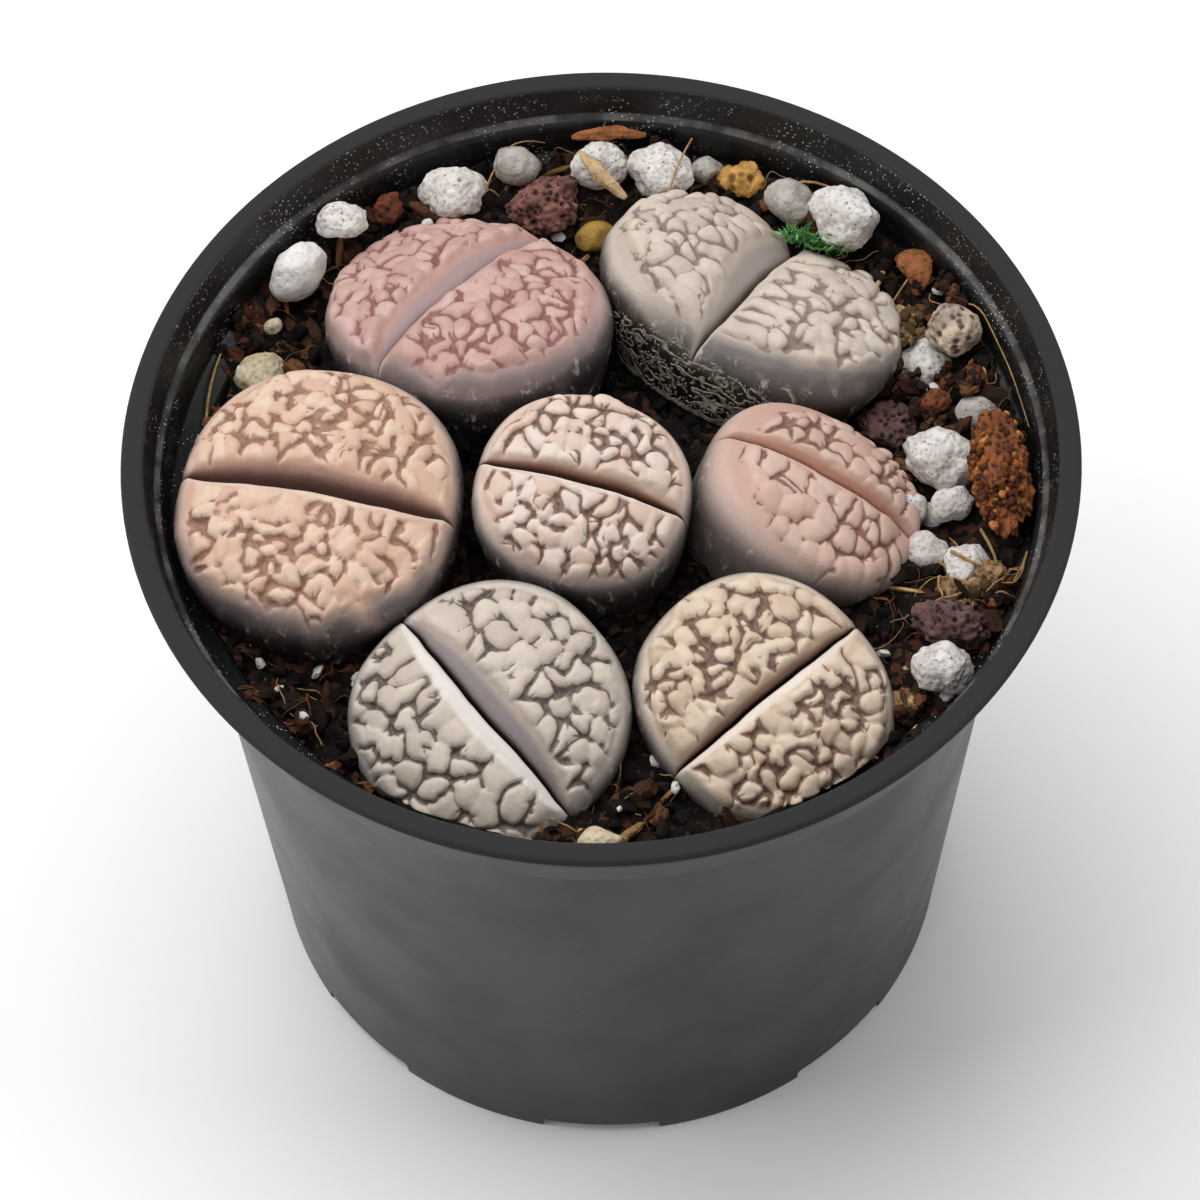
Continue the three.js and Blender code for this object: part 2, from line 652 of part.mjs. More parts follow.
function stickGeometry(stick, grow = 0) {
  const path = stick.path.map(([x, y, depth]) => new THREE.Vector3(x, y, POT_HEIGHT + depth));
  const curve = new THREE.CatmullRomCurve3(path);
  const sides = 6;
  const steps = 2 * (path.length - 1);
  const up = new THREE.Vector3(0, 0, 1);
  const rings = [];
  for (let i = 0; i <= steps; i++) {
    const share = i / steps;
    const middle = curve.getPoint(share);
    const across = new THREE.Vector3().crossVectors(up, curve.getTangent(share)).normalize();
    const top = new THREE.Vector3().crossVectors(curve.getTangent(share), across);
    const spot = share * (path.length - 1);
    const low = Math.min(Math.floor(spot), path.length - 2);
    const size = (k) => THREE.MathUtils.lerp(stick.path[low][k], stick.path[low + 1][k], spot - low);
    const ring = [];
    for (let j = 0; j < sides; j++) {
      const angle = (2 * Math.PI * j) / sides;
      const point = middle.clone().addScaledVector(across, (size(3) + grow) * Math.cos(angle));
      ring.push(point.addScaledVector(top, (size(4) + grow) * Math.sin(angle)));
    }
    rings.push(ring);
  }
  const ends = [0, 1].map((share) => {
    const outwards = curve.getTangent(share).multiplyScalar((share ? 1 : -1) * (0.4 + grow));
    return curve.getPoint(share).add(outwards);
  });
  return stackOfRings(rings, ends[0], ends[1]);
}

// ---- the soil ----
// The soil banks up to the wall at the back and the right, under the gravel.
function soilHeight(x, y) {
  const radius = Math.hypot(x, y);
  const heading = Math.atan2(y, x);
  const backRight = blend(Math.cos(heading - radians(48)), -0.35, 0.35);
  const left = blend(Math.cos(heading - radians(175)), 0.3, 0.9);
  const bank = 3.4 * backRight + 1.6 * left * (1 - backRight);
  const lumps = 0.5 * Math.sin(0.9 * x + 1.3) * Math.sin(0.8 * y + 0.4);
  const ripple = lumps + 0.3 * Math.sin(1.7 * (x + y));
  return POT_HEIGHT - SOIL_DEPTH + bank * blend(radius, 30, 42) + ripple;
}

function soilGeometry(cutters) {
  const wallAt = (height) => tableAt(INNER_WALL, height) - CLEAR - 0.15;
  const spoke = (i, radius, height) => {
    const angle = (2 * Math.PI * i) / POT_SIDES;
    return new THREE.Vector3(radius * Math.cos(angle), radius * Math.sin(angle), height);
  };
  const ringOf = (make) => Array.from({ length: POT_SIDES }, (_, i) => make(i));
  const edgeRadius = BODY_TOP_RADIUS - WALL - CLEAR;
  const edgeHeight = (i) => {
    const foot = spoke(i, edgeRadius, 0);
    return soilHeight(foot.x, foot.y);
  };
  const bottom = FLOOR_LEVEL + WALL + 0.2 + CLEAR;
  const below = [1.6, 0.8, 0].map((drop) => {
    return ringOf((i) => {
      const height = Math.min(edgeHeight(i), POT_HEIGHT - 8.9) - drop;
      return spoke(i, wallAt(height), height);
    });
  });
  const topRings = [38, 33, 28, 22, 15, 7].map((radius) => {
    return ringOf((i) => {
      const foot = spoke(i, radius, 0);
      return foot.setZ(soilHeight(foot.x, foot.y));
    });
  });
  const rings = [ringOf((i) => spoke(i, wallAt(bottom), bottom)), ...below, ...topRings];
  const middle = new THREE.Vector3(0, 0, soilHeight(0, 0));
  let soil = solidOf(stackOfRings(rings, new THREE.Vector3(0, 0, bottom), middle));
  soil = addCrumbs(soil);
  for (const cutter of cutters) soil = soil.subtract(solidOf(cutter));
  return geometryOf(soil);
}

// Crumbs of peat and bark, sunk well into the soil.
function addCrumbs(soil) {
  const random = generator(101);
  let result = soil;
  for (let i = 0; i < 26; i++) {
    const angle = 2 * Math.PI * random();
    const radius = 12 + 27.5 * Math.sqrt(random());
    const size = 1 + 1.3 * random();
    const x = radius * Math.cos(angle);
    const y = radius * Math.sin(angle);
    const crumb = new THREE.IcosahedronGeometry(size, 0);
    crumb.rotateZ(6 * random()).scale(1.3, 0.9, 0.7);
    crumb.rotateZ(6 * random()).translate(x, y, soilHeight(x, y) + 0.1);
    result = result.add(solidOf(crumb));
  }
  return result;
}

// ---- the dry sheath ----
// Last year's leaves, dried to a papery collar round the front of the grey head.
const SHEATH_GAP = 0.5;
const SHEATH_THICKNESS = 0.7;
const SHEATH_STEPS = 14;
const SHEATH_BOTTOM = -9.2;
const SHEATH_START = 154; // where it starts round the head, and how far it runs, in degrees
const SHEATH_SPAN = 46;

function sheathGeometry(head) {
  const place = placer(head);
  const random = generator(211);
  const surface = new Surface();
  const share = (out) => tableAt([...SIDE].reverse(), out);
  const sections = [];
  for (let i = 0; i <= SHEATH_STEPS; i++) {
    const angle = radians(SHEATH_START + (i * SHEATH_SPAN) / SHEATH_STEPS);
    const [along, across] = outlineAt(head, angle, 1);
    const size = Math.hypot(along, across);
    const ragged = Math.sqrt(Math.max(0, Math.sin((Math.PI * i) / SHEATH_STEPS)));
    const top = SHEATH_BOTTOM + 0.8 + (3 + 1.2 * random()) * ragged;
    const crease = 0.35 * Math.sin(1.9 * i) + 0.3 * random();
    const at = (out, offset) => {
      const grown = (share(out) * size + SHEATH_GAP + Math.max(0, offset)) / size;
      return surface.point(place(along * grown, across * grown, out));
    };
    const bulge = 0.8 + 0.5 * crease;
    sections.push([
      at(SHEATH_BOTTOM, 0),
      at(SHEATH_BOTTOM, SHEATH_THICKNESS),
      at(0.5 * (top + SHEATH_BOTTOM), SHEATH_THICKNESS + bulge),
      at(top, SHEATH_THICKNESS + 0.2 + crease),
      at(top, 0.2 + crease),
      at(0.5 * (top + SHEATH_BOTTOM), bulge),
    ]);
  }
  for (let i = 1; i < sections.length; i++) surface.band(sections[i], sections[i - 1]);
  const cap = (section, turned) => {
    const [a, b, c, d, e, f] = section;
    for (const [p, q, r, s] of [[a, b, c, f], [f, c, d, e]]) {
      if (turned) surface.quad(s, r, q, p);
      else surface.quad(p, q, r, s);
    }
  };
  cap(sections[0], false);
  cap(sections[SHEATH_STEPS], true);
  return surface.geometry();
}

// ---- the assembly ----
const potted = new THREE.Group();

function addMesh(name, geometry, colour, roughness) {
  const material = new THREE.MeshStandardMaterial({ color: colour, roughness, metalness: 0 });
  const mesh = new THREE.Mesh(geometry, material);
  mesh.name = name;
  potted.add(mesh);
}

addMesh("nursery_pot", potGeometry(), 0x2b2b2c, 0.5);
const cutters = [];
for (const [name, head] of Object.entries(HEADS)) {
  addMesh("lithops_" + name, lithopsGeometry(head), head.colour, 0.6);
  cutters.push(plantingHole(head));
}
addMesh("dry_sheath", sheathGeometry(HEADS.grey), 0x8f8672, 0.8);
for (const [name, stone] of Object.entries(STONES)) {
  addMesh(name, rockGeometry(stone), stone.colour, 0.9);
  cutters.push(rockGeometry(stone, CLEAR));
}
for (const [name, stick] of Object.entries(STICKS)) {
  addMesh(name, stickGeometry(stick), stick.colour, 0.9);
  cutters.push(stickGeometry(stick, CLEAR));
}
addMesh("potting_soil", soilGeometry(cutters), 0x2a1f18, 1);

export default potted;
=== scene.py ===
# %% [markdown]
# # A pot of living stones
# Seven lithops stand in a nursery pot, bedded in peaty soil and dressed with pumice, lava and
# bark. This lesson takes the measured solids of the pot and builds the looks around them:
# first the helpers, then the pot, the plants, the soil, the stones and the litter, and last
# the light and the camera.

# %% Load the measured solids
import bpy
import json
import math
import numpy as np
from itertools import product
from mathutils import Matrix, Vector
from types import SimpleNamespace

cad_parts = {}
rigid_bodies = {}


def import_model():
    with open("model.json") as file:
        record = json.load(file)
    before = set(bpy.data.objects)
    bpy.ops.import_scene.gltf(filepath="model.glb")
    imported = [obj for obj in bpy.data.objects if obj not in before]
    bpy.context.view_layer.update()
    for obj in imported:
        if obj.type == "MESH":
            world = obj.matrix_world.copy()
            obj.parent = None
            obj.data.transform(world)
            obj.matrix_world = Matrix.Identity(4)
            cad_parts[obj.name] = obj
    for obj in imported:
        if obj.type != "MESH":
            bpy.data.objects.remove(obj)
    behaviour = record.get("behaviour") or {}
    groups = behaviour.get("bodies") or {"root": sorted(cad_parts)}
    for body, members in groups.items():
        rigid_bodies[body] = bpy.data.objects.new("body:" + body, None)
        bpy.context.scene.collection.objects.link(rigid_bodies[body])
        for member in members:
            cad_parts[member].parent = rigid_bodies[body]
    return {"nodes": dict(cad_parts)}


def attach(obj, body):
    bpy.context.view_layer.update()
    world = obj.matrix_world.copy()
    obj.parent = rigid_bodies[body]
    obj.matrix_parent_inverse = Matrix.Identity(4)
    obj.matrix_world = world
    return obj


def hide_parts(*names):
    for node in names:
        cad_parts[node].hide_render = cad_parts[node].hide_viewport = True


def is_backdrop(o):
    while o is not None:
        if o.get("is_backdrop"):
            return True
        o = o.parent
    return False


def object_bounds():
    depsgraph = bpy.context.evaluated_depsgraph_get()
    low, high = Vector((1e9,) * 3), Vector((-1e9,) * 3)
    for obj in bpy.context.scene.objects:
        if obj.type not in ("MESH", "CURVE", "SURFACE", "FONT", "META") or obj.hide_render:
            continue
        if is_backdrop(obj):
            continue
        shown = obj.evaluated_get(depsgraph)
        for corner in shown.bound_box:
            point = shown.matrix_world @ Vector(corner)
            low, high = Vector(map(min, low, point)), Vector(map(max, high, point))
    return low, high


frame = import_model()
solid_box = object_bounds()
for item in bpy.context.selected_objects:
    item.select_set(False)
print("solids:", len(frame["nodes"]))

# %% [markdown]
# The pot's own sizes come first, in millimetres, because everything else is measured from its
# rim. Blender works in metres, so lengths are multiplied by MM where a mesh is written.

# %% Sizes of the pot
MM = 0.001
POT_HEIGHT = 82.3
RIM_RADIUS = 50
BASE_RADIUS = 39.1
BODY_TOP_RADIUS = 44
WALL = 1
FLOOR_LEVEL = 2.5
COLLAR = POT_HEIGHT - 8.5
POT_SIDES = 192

# %% [markdown]
# Nothing that grows is regular. Two helpers give chance that is the same on every run: a
# generator of numbers, as the measured solids use it for the islands of each leaf, and
# noise that changes smoothly in space.

# %% Seeded chance
FULL = 0xFFFFFFFF


def generator(seed):
    state = seed & FULL

    def draw():
        nonlocal state
        state = (state + 0x6D2B79F5) & FULL
        mixed = ((state ^ (state >> 15)) * (1 | state)) & FULL
        mixed = ((mixed + (((mixed ^ (mixed >> 7)) * (61 | mixed)) & FULL)) & FULL) ^ mixed
        return ((mixed ^ (mixed >> 14)) & FULL) / (FULL + 1)

    return draw


def hashed(key, seed):
    """A number from 0 to 1 for each key, always the same for that key."""
    spread = np.sin(np.asarray(key, float) * 12.9898 + seed * 78.233) * 43758.5453
    return spread - np.floor(spread)


def noise(points, size, seed=0):
    """Smooth chance from -1 to 1 that changes over about size."""
    cell = np.asarray(points, float) / size + 31.7 + seed * 7.31
    if cell.shape[1] == 2:
        cell = np.column_stack([cell, np.full(len(cell), 0.5)])
    base = np.floor(cell)
    part = cell - base
    part = part * part * (3 - 2 * part)
    total = np.zeros(len(cell))
    for corner in product((0, 1), repeat=3):
        corner = np.array(corner)
        key = (base + corner) @ np.array([127.1, 311.7, 74.7])
        weight = np.prod(np.where(corner, part, 1 - part), axis=1)
        total += weight * (2 * hashed(key * 0.0131, seed + 0.37) - 1)
    return total


def smooth(value, low, high):
    share = np.clip((value - low) / (high - low), 0, 1)
    return share * share * (3 - 2 * share)


print("first number of seed 11:", round(generator(11)(), 6))

# %% [markdown]
# A few tools of the hand: writing places and marks into a mesh, picking points and faces in
# edit mode, applying a modifier, and putting a finished piece with the solids.

# %% Hand tools
def places(piece):
    co = np.empty(len(piece.data.vertices) * 3)
    piece.data.vertices.foreach_get("co", co)
    return co.reshape(-1, 3)


def move_to(piece, points):
    piece.data.vertices.foreach_set("co", np.asarray(points, float).ravel())
    piece.data.update()


def mark(piece, name, values):
    """Keeps one number per point, for the materials to read."""
    layer = piece.data.attributes.new(name, "FLOAT", "POINT")
    layer.data.foreach_set("value", np.asarray(values, float).astype(np.float32))


def pick(piece):
    bpy.ops.object.select_all(action="DESELECT")
    piece.select_set(True)
    bpy.context.view_layer.objects.active = piece


def edit(piece, mode="VERT"):
    """Opens a piece in edit mode with nothing picked."""
    pick(piece)
    bpy.ops.object.mode_set(mode="EDIT")
    bpy.ops.mesh.select_mode(type=mode)
    bpy.ops.mesh.select_all(action="DESELECT")


def done():
    bpy.ops.object.mode_set(mode="OBJECT")


def edit_faces(piece, wanted):
    """Opens a piece in edit mode with the wanted faces picked."""
    edit(piece, "FACE")
    done()
    for face in piece.data.polygons:
        face.select = wanted(face)
    bpy.ops.object.mode_set(mode="EDIT")


def all_outward():
    """Turns every face of the piece in edit mode outwards and leaves edit mode."""
    bpy.ops.mesh.select_all(action="SELECT")
    bpy.ops.mesh.normals_make_consistent(inside=False)
    done()


def modify(piece, kind, **settings):
    """Gives a piece a modifier with these settings and applies it."""
    tool = piece.modifiers.new(kind, kind)
    for name, value in settings.items():
        setattr(tool, name, value)
    bpy.context.view_layer.objects.active = piece
    bpy.ops.object.modifier_apply(modifier=tool.name)


def put_in_scene(name, data):
    thing = bpy.data.objects.new(name, data)
    bpy.context.collection.objects.link(thing)
    return thing


def finish_piece(piece, name, finish, stands_for=(), angle=None):
    piece.name = name
    piece.data.name = name
    piece.data.materials.clear()
    piece.data.materials.append(finish)
    pick(piece)
    if angle is None:
        bpy.ops.object.shade_smooth()
    else:
        bpy.ops.object.shade_smooth_by_angle(angle=math.radians(angle))
    piece.select_set(False)
    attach(piece, "root")
    if stands_for:
        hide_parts(*stands_for)
    print(name, "faces:", len(piece.data.polygons))


# %% [markdown]
# ## How the finishes are mixed
# Every material starts as a Principled BSDF. Small helpers add the nodes that every finish
# shares: noise in the piece's own space, marks read from the mesh, colours mixed by a mask
# and bumps. Sizes are given in millimetres.

# %% Material helpers
def rgb(hexed):
    """An sRGB colour as Blender's linear one."""
    parts = [((hexed >> shift) & 255) / 255 for shift in (16, 8, 0)]
    linear = [p / 12.92 if p <= 0.04045 else ((p + 0.055) / 1.055) ** 2.4 for p in parts]
    return (*linear, 1)


class Finish:
    """A material with one Principled BSDF and the nodes that feed it."""

    def __init__(self, name, roughness=0.6, specular=0.4):
        self.material = bpy.data.materials.new(name)
        self.material.use_nodes = True
        self.nodes = self.material.node_tree.nodes
        self.links = self.material.node_tree.links
        self.shader = self.nodes["Principled BSDF"]
        self.shader.inputs["Roughness"].default_value = roughness
        self.shader.inputs["Specular IOR Level"].default_value = specular
        self.space = self.nodes.new("ShaderNodeTexCoord").outputs["Object"]

    def feed(self, socket, value):
        if isinstance(value, bpy.types.NodeSocket):
            self.links.new(value, socket)
        else:
            socket.default_value = value

    def noise(self, size, detail=3, rough=0.5, stretch=None, distortion=0.0):
        node = self.nodes.new("ShaderNodeTexNoise")
        node.inputs["Scale"].default_value = 1 / (size * MM)
        node.inputs["Detail"].default_value = detail
        node.inputs["Roughness"].default_value = rough
        node.inputs["Distortion"].default_value = distortion
        self.links.new(self.stretched(stretch), node.inputs["Vector"])
        return node.outputs["Fac"]

    def cells(self, size, output="Distance"):
        node = self.nodes.new("ShaderNodeTexVoronoi")
        node.inputs["Scale"].default_value = 1 / (size * MM)
        self.links.new(self.space, node.inputs["Vector"])
        return node.outputs[output]

    def stretched(self, stretch):
        if stretch is None:
            return self.space
        node = self.nodes.new("ShaderNodeMapping")
        node.inputs["Scale"].default_value = stretch
        self.links.new(self.space, node.inputs["Vector"])
        return node.outputs["Vector"]

    def mark(self, name):
        node = self.nodes.new("ShaderNodeAttribute")
        node.attribute_name = name
        return node.outputs["Fac"]

    def span(self, value, low, high, to_low=0.0, to_high=1.0):
        """Maps value from low..high to to_low..to_high, smoothly, and stops at the ends."""
        node = self.nodes.new("ShaderNodeMapRange")
        node.interpolation_type = "SMOOTHSTEP"
        self.feed(node.inputs["Value"], value)
        for name, number in zip(("From Min", "From Max", "To Min", "To Max"),
                                (low, high, to_low, to_high)):
            node.inputs[name].default_value = number
        return node.outputs["Result"]

    def sum(self, kind, first, second):
        node = self.nodes.new("ShaderNodeMath")
        node.operation = kind
        self.feed(node.inputs[0], first)
        self.feed(node.inputs[1], second)
        return node.outputs["Value"]

    def mix(self, mask, low, high):
        node = self.nodes.new("ShaderNodeMix")
        node.data_type = "RGBA"
        self.feed(node.inputs["Factor"], mask)
        self.feed(node.inputs[6], low)
        self.feed(node.inputs[7], high)
        return node.outputs[2]

    def bump(self, height, deep, under=None):
        """Raises the surface by deep millimetres where height is 1."""
        node = self.nodes.new("ShaderNodeBump")
        node.inputs["Distance"].default_value = deep * MM
        self.links.new(height, node.inputs["Height"])
        if under is not None:
            self.links.new(under, node.inputs["Normal"])
        return node.outputs["Normal"]

    def close(self, colour, normal=None, roughness=None):
        self.feed(self.shader.inputs["Base Color"], colour)
        if normal is not None:
            self.links.new(normal, self.shader.inputs["Normal"])
        if roughness is not None:
            self.links.new(roughness, self.shader.inputs["Roughness"])
        return self.material


# %% [markdown]
# ## The pot
# A thin black nursery pot is moulded in one piece, so all its faces are turned round one
# axis, and its edges are a little round. It could be spun from a profile curve. Here a
# circle is extruded and scaled ring by ring, which is how the same pot is drawn by hand,
# because each ring is then one named size.

# %% The pot's profile
def round_corners(corners, radius, steps=4):
    """Replaces each inner corner of a path by a small arc."""
    path = [corners[0]]
    for before, corner, after in zip(corners, corners[1:], corners[2:]):
        before, corner, after = (np.array(p, float) for p in (before, corner, after))
        reach = min(radius, 0.45 * np.linalg.norm(before - corner),
                    0.45 * np.linalg.norm(after - corner))
        start = corner + reach * (before - corner) / np.linalg.norm(before - corner)
        end = corner + reach * (after - corner) / np.linalg.norm(after - corner)
        for step in range(steps + 1):
            t = step / steps
            path.append(tuple((1 - t) ** 2 * start + 2 * t * (1 - t) * corner + t * t * end))
    path.append(corners[-1])
    return path


OUTSIDE = [
    (0.5, FLOOR_LEVEL),
    (BASE_RADIUS - 1.8, FLOOR_LEVEL),
    (BASE_RADIUS - 1.8, 0),
    (BASE_RADIUS, 0),
    (BASE_RADIUS + 0.12, 2.2),
    (BODY_TOP_RADIUS, COLLAR - 0.9),
    (46.9, COLLAR - 0.2),
    (47.3, COLLAR + 0.3),
    (48.3, POT_HEIGHT - 1.5),
    (RIM_RADIUS - 0.3, POT_HEIGHT - 1.2),
    (RIM_RADIUS, POT_HEIGHT - 0.7),
    (RIM_RADIUS - 0.25, POT_HEIGHT - 0.1),
    (RIM_RADIUS - 0.6, POT_HEIGHT),
    (47.8, POT_HEIGHT),
]
INSIDE = [
    (47.5, POT_HEIGHT - 0.3),
    (46.8, POT_HEIGHT - 3.6),
    (46.1, POT_HEIGHT - 4.1),
    (45.8, POT_HEIGHT - 4.7),
    (45.5, POT_HEIGHT - 8.2),
    (BODY_TOP_RADIUS - 0.7, POT_HEIGHT - 9.4),
    (BODY_TOP_RADIUS - WALL, POT_HEIGHT - 10),
    (BASE_RADIUS - WALL, FLOOR_LEVEL + WALL + 0.2),
    (0.5, FLOOR_LEVEL + WALL + 0.2),
]
INNER_HEIGHTS = [height for _, height in reversed(INSIDE[:-1])]
INNER_RADII = [inner_radius for inner_radius, _ in reversed(INSIDE[:-1])]
pot_profile = round_corners(OUTSIDE + INSIDE, 0.35)
print("rings of the pot:", len(pot_profile))


# %% Turn the pot
def turned(profile, sides):
    """A closed shell from a circle that is extruded and scaled to each step of a profile."""
    radius, height = profile[0]
    bpy.ops.mesh.primitive_circle_add(vertices=sides, radius=radius * MM, fill_type="NGON",
                                      location=(0, 0, height * MM))
    piece = bpy.context.object
    bpy.ops.object.transform_apply(location=True, rotation=True, scale=True)
    edit(piece, "FACE")
    bpy.ops.mesh.select_all(action="SELECT")
    for next_radius, next_height in profile[1:]:
        rise = (0, 0, (next_height - height) * MM)
        bpy.ops.mesh.extrude_region_move(TRANSFORM_OT_translate={"value": rise})
        share = next_radius / radius
        bpy.ops.transform.resize(value=(share, share, 1))
        radius, height = next_radius, next_height
    all_outward()
    return piece


pot = turned(pot_profile, POT_SIDES)
print("pot faces:", len(pot.data.polygons))

# %% [markdown]
# Water leaves through five holes in the floor and eight notches in the foot ring. Each is cut
# with a rounded block, as a mould would leave it.

# %% Notches and drain holes
NOTCHES = 8
NOTCH_DEPTH = 8
NOTCH_WIDTH = 13.4
NOTCH_HEIGHT = 1.8
NOTCH_START = -92.5
DRAIN_RADIUS = 3
DRAIN_CIRCLE = 29


def cut(piece, cutter):
    modify(piece, "BOOLEAN", operation="DIFFERENCE", solver="EXACT", object=cutter)
    bpy.data.objects.remove(cutter)


def drain(piece, x, y):
    bpy.ops.mesh.primitive_cylinder_add(vertices=32, radius=DRAIN_RADIUS * MM, depth=5 * MM,
                                        location=(x, y, FLOOR_LEVEL * MM))
    bpy.ops.object.transform_apply(location=True, rotation=True, scale=True)
    cut(piece, bpy.context.object)


for i in range(NOTCHES):
    turn = math.radians(NOTCH_START + i * 360 / NOTCHES)
    heading = Vector((math.cos(turn), math.sin(turn), 0))
    bpy.ops.mesh.primitive_cube_add(size=1, location=heading * BASE_RADIUS * MM,
                                    rotation=(0, 0, turn))
    notch = bpy.context.object
    notch.scale = (NOTCH_DEPTH * MM, NOTCH_WIDTH * MM, 2 * NOTCH_HEIGHT * MM)
    bpy.ops.object.transform_apply(location=True, rotation=True, scale=True)
    edit(notch, "EDGE")
    bpy.ops.mesh.select_all(action="SELECT")
    bpy.ops.mesh.bevel(offset=0.5 * MM, segments=3)
    done()
    cut(pot, notch)
    if i % 2 == 0:
        hole = heading * DRAIN_CIRCLE * MM
        drain(pot, hole.x, hole.y)
drain(pot, 0, 0)
print("pot with notches:", len(pot.data.polygons))

# %% [markdown]
# The plastic is dark grey with a fine orange-peel skin. Potting leaves pale dust inside, and
# thin scuffs run round the wall where pots were stacked. A pale line on the edge of the ledge
# below the mouth is a painted highlight, mixed with dust. The inside and the foot are painted
# darker as shade, and the flange is plain. Marks in the mesh say which points are which.

# %% Pot plastic
PLASTIC = 0x1C1C1D
PLASTIC_WORN = 0x232222
SCUFF = 0x7B7874
PAINTED_SHADE = 0x0C0C0D
FILM = 0x77736F
LEDGE_HIGHLIGHT = 0x6E6B68
FLANGE = 0x272728
DUST = 0xDCD8D4
INNER_FROM = 60
INNER_MARGIN = 0.25
DUST_AND_SHADE_OUTSIDE = 0.008
FOOT_SHADE = 0.9
FOOT_TOP = 30
LEDGE_DEPTHS = (3.45, 4.05)
FLANGE_INNER = 47.6


def make_plastic():
    f = Finish("pot_plastic", roughness=0.42, specular=0.4)
    cloud = f.noise(14, detail=4)
    colour = f.mix(f.span(cloud, 0.35, 0.75, 0, 0.35), rgb(PLASTIC), rgb(PLASTIC_WORN))
    scuffs = f.span(f.noise(2.2, detail=5, stretch=(0.35, 0.35, 3.5)), 0.62, 0.72, 0, 0.1)
    colour = f.mix(scuffs, colour, rgb(SCUFF))
    grains = f.cells(0.34)
    wanted = f.span(f.cells(0.34, output="Color"), 0.5, 0.54)
    thick = f.span(f.noise(5, detail=3), 0.42, 0.62)
    specks = f.sum("MULTIPLY", f.span(grains, 0.18, 0.3, 1, 0), f.sum("MULTIPLY", wanted, thick))
    inside = f.mark("dust_and_shade")
    specks = f.sum("MULTIPLY", specks, inside)
    film = f.sum("MULTIPLY", f.span(f.noise(1.6, detail=6), 0.5, 0.75), inside)
    # Painted shade: the inside of the pot and its foot turn near black.
    painted_shade = f.sum("MAXIMUM", f.sum("MULTIPLY", inside, 0.8), f.mark("foot"))
    colour = f.mix(painted_shade, colour, rgb(PAINTED_SHADE))
    colour = f.mix(f.sum("MULTIPLY", film, 0.04), colour, rgb(FILM))
    # Painted highlight: a pale line along the edge of the ledge, broken up by dust.
    highlight_and_dust = f.span(f.noise(2.5, detail=5), 0.35, 0.65, 0.1, 0.6)
    colour = f.mix(f.sum("MULTIPLY", f.mark("ledge"), highlight_and_dust), colour, rgb(LEDGE_HIGHLIGHT))
    colour = f.mix(f.sum("MULTIPLY", specks, 0.75), colour, rgb(DUST))
    normal = f.bump(f.noise(0.45, detail=3), 0.02)
    flat = f.mark("flange")
    colour = f.mix(flat, colour, rgb(FLANGE))
    rough = f.sum("MAXIMUM", f.span(cloud, 0.3, 0.8, 0.36, 0.5), f.sum("MULTIPLY", flat, 0.95))
    return f.close(colour, normal, rough)


pot_places = places(pot) / MM
radius = np.hypot(pot_places[:, 0], pot_places[:, 1])
inner_radius = np.interp(pot_places[:, 2], INNER_HEIGHTS, INNER_RADII)
inner = (radius < inner_radius + INNER_MARGIN) & (pot_places[:, 2] > INNER_FROM)
# The inside mark holds real dust and painted shade; the foot mark is painted shade towards the
# bottom.
mark(pot, "dust_and_shade", np.where(inner, 1.0, DUST_AND_SHADE_OUTSIDE))
mark(pot, "foot", FOOT_SHADE * (1 - smooth(pot_places[:, 2], 2, FOOT_TOP)))
depth = POT_HEIGHT - pot_places[:, 2]
# ledge: the band along the ledge's edge that gets the painted highlight.
mark(pot, "ledge", inner & (depth > LEDGE_DEPTHS[0]) & (depth < LEDGE_DEPTHS[1]))
mark(pot, "flange", (radius > FLANGE_INNER) & (pot_places[:, 2] > COLLAR + 1))
finish_piece(pot, "moulded_pot", make_plastic(), ["nursery_pot"], angle=35)
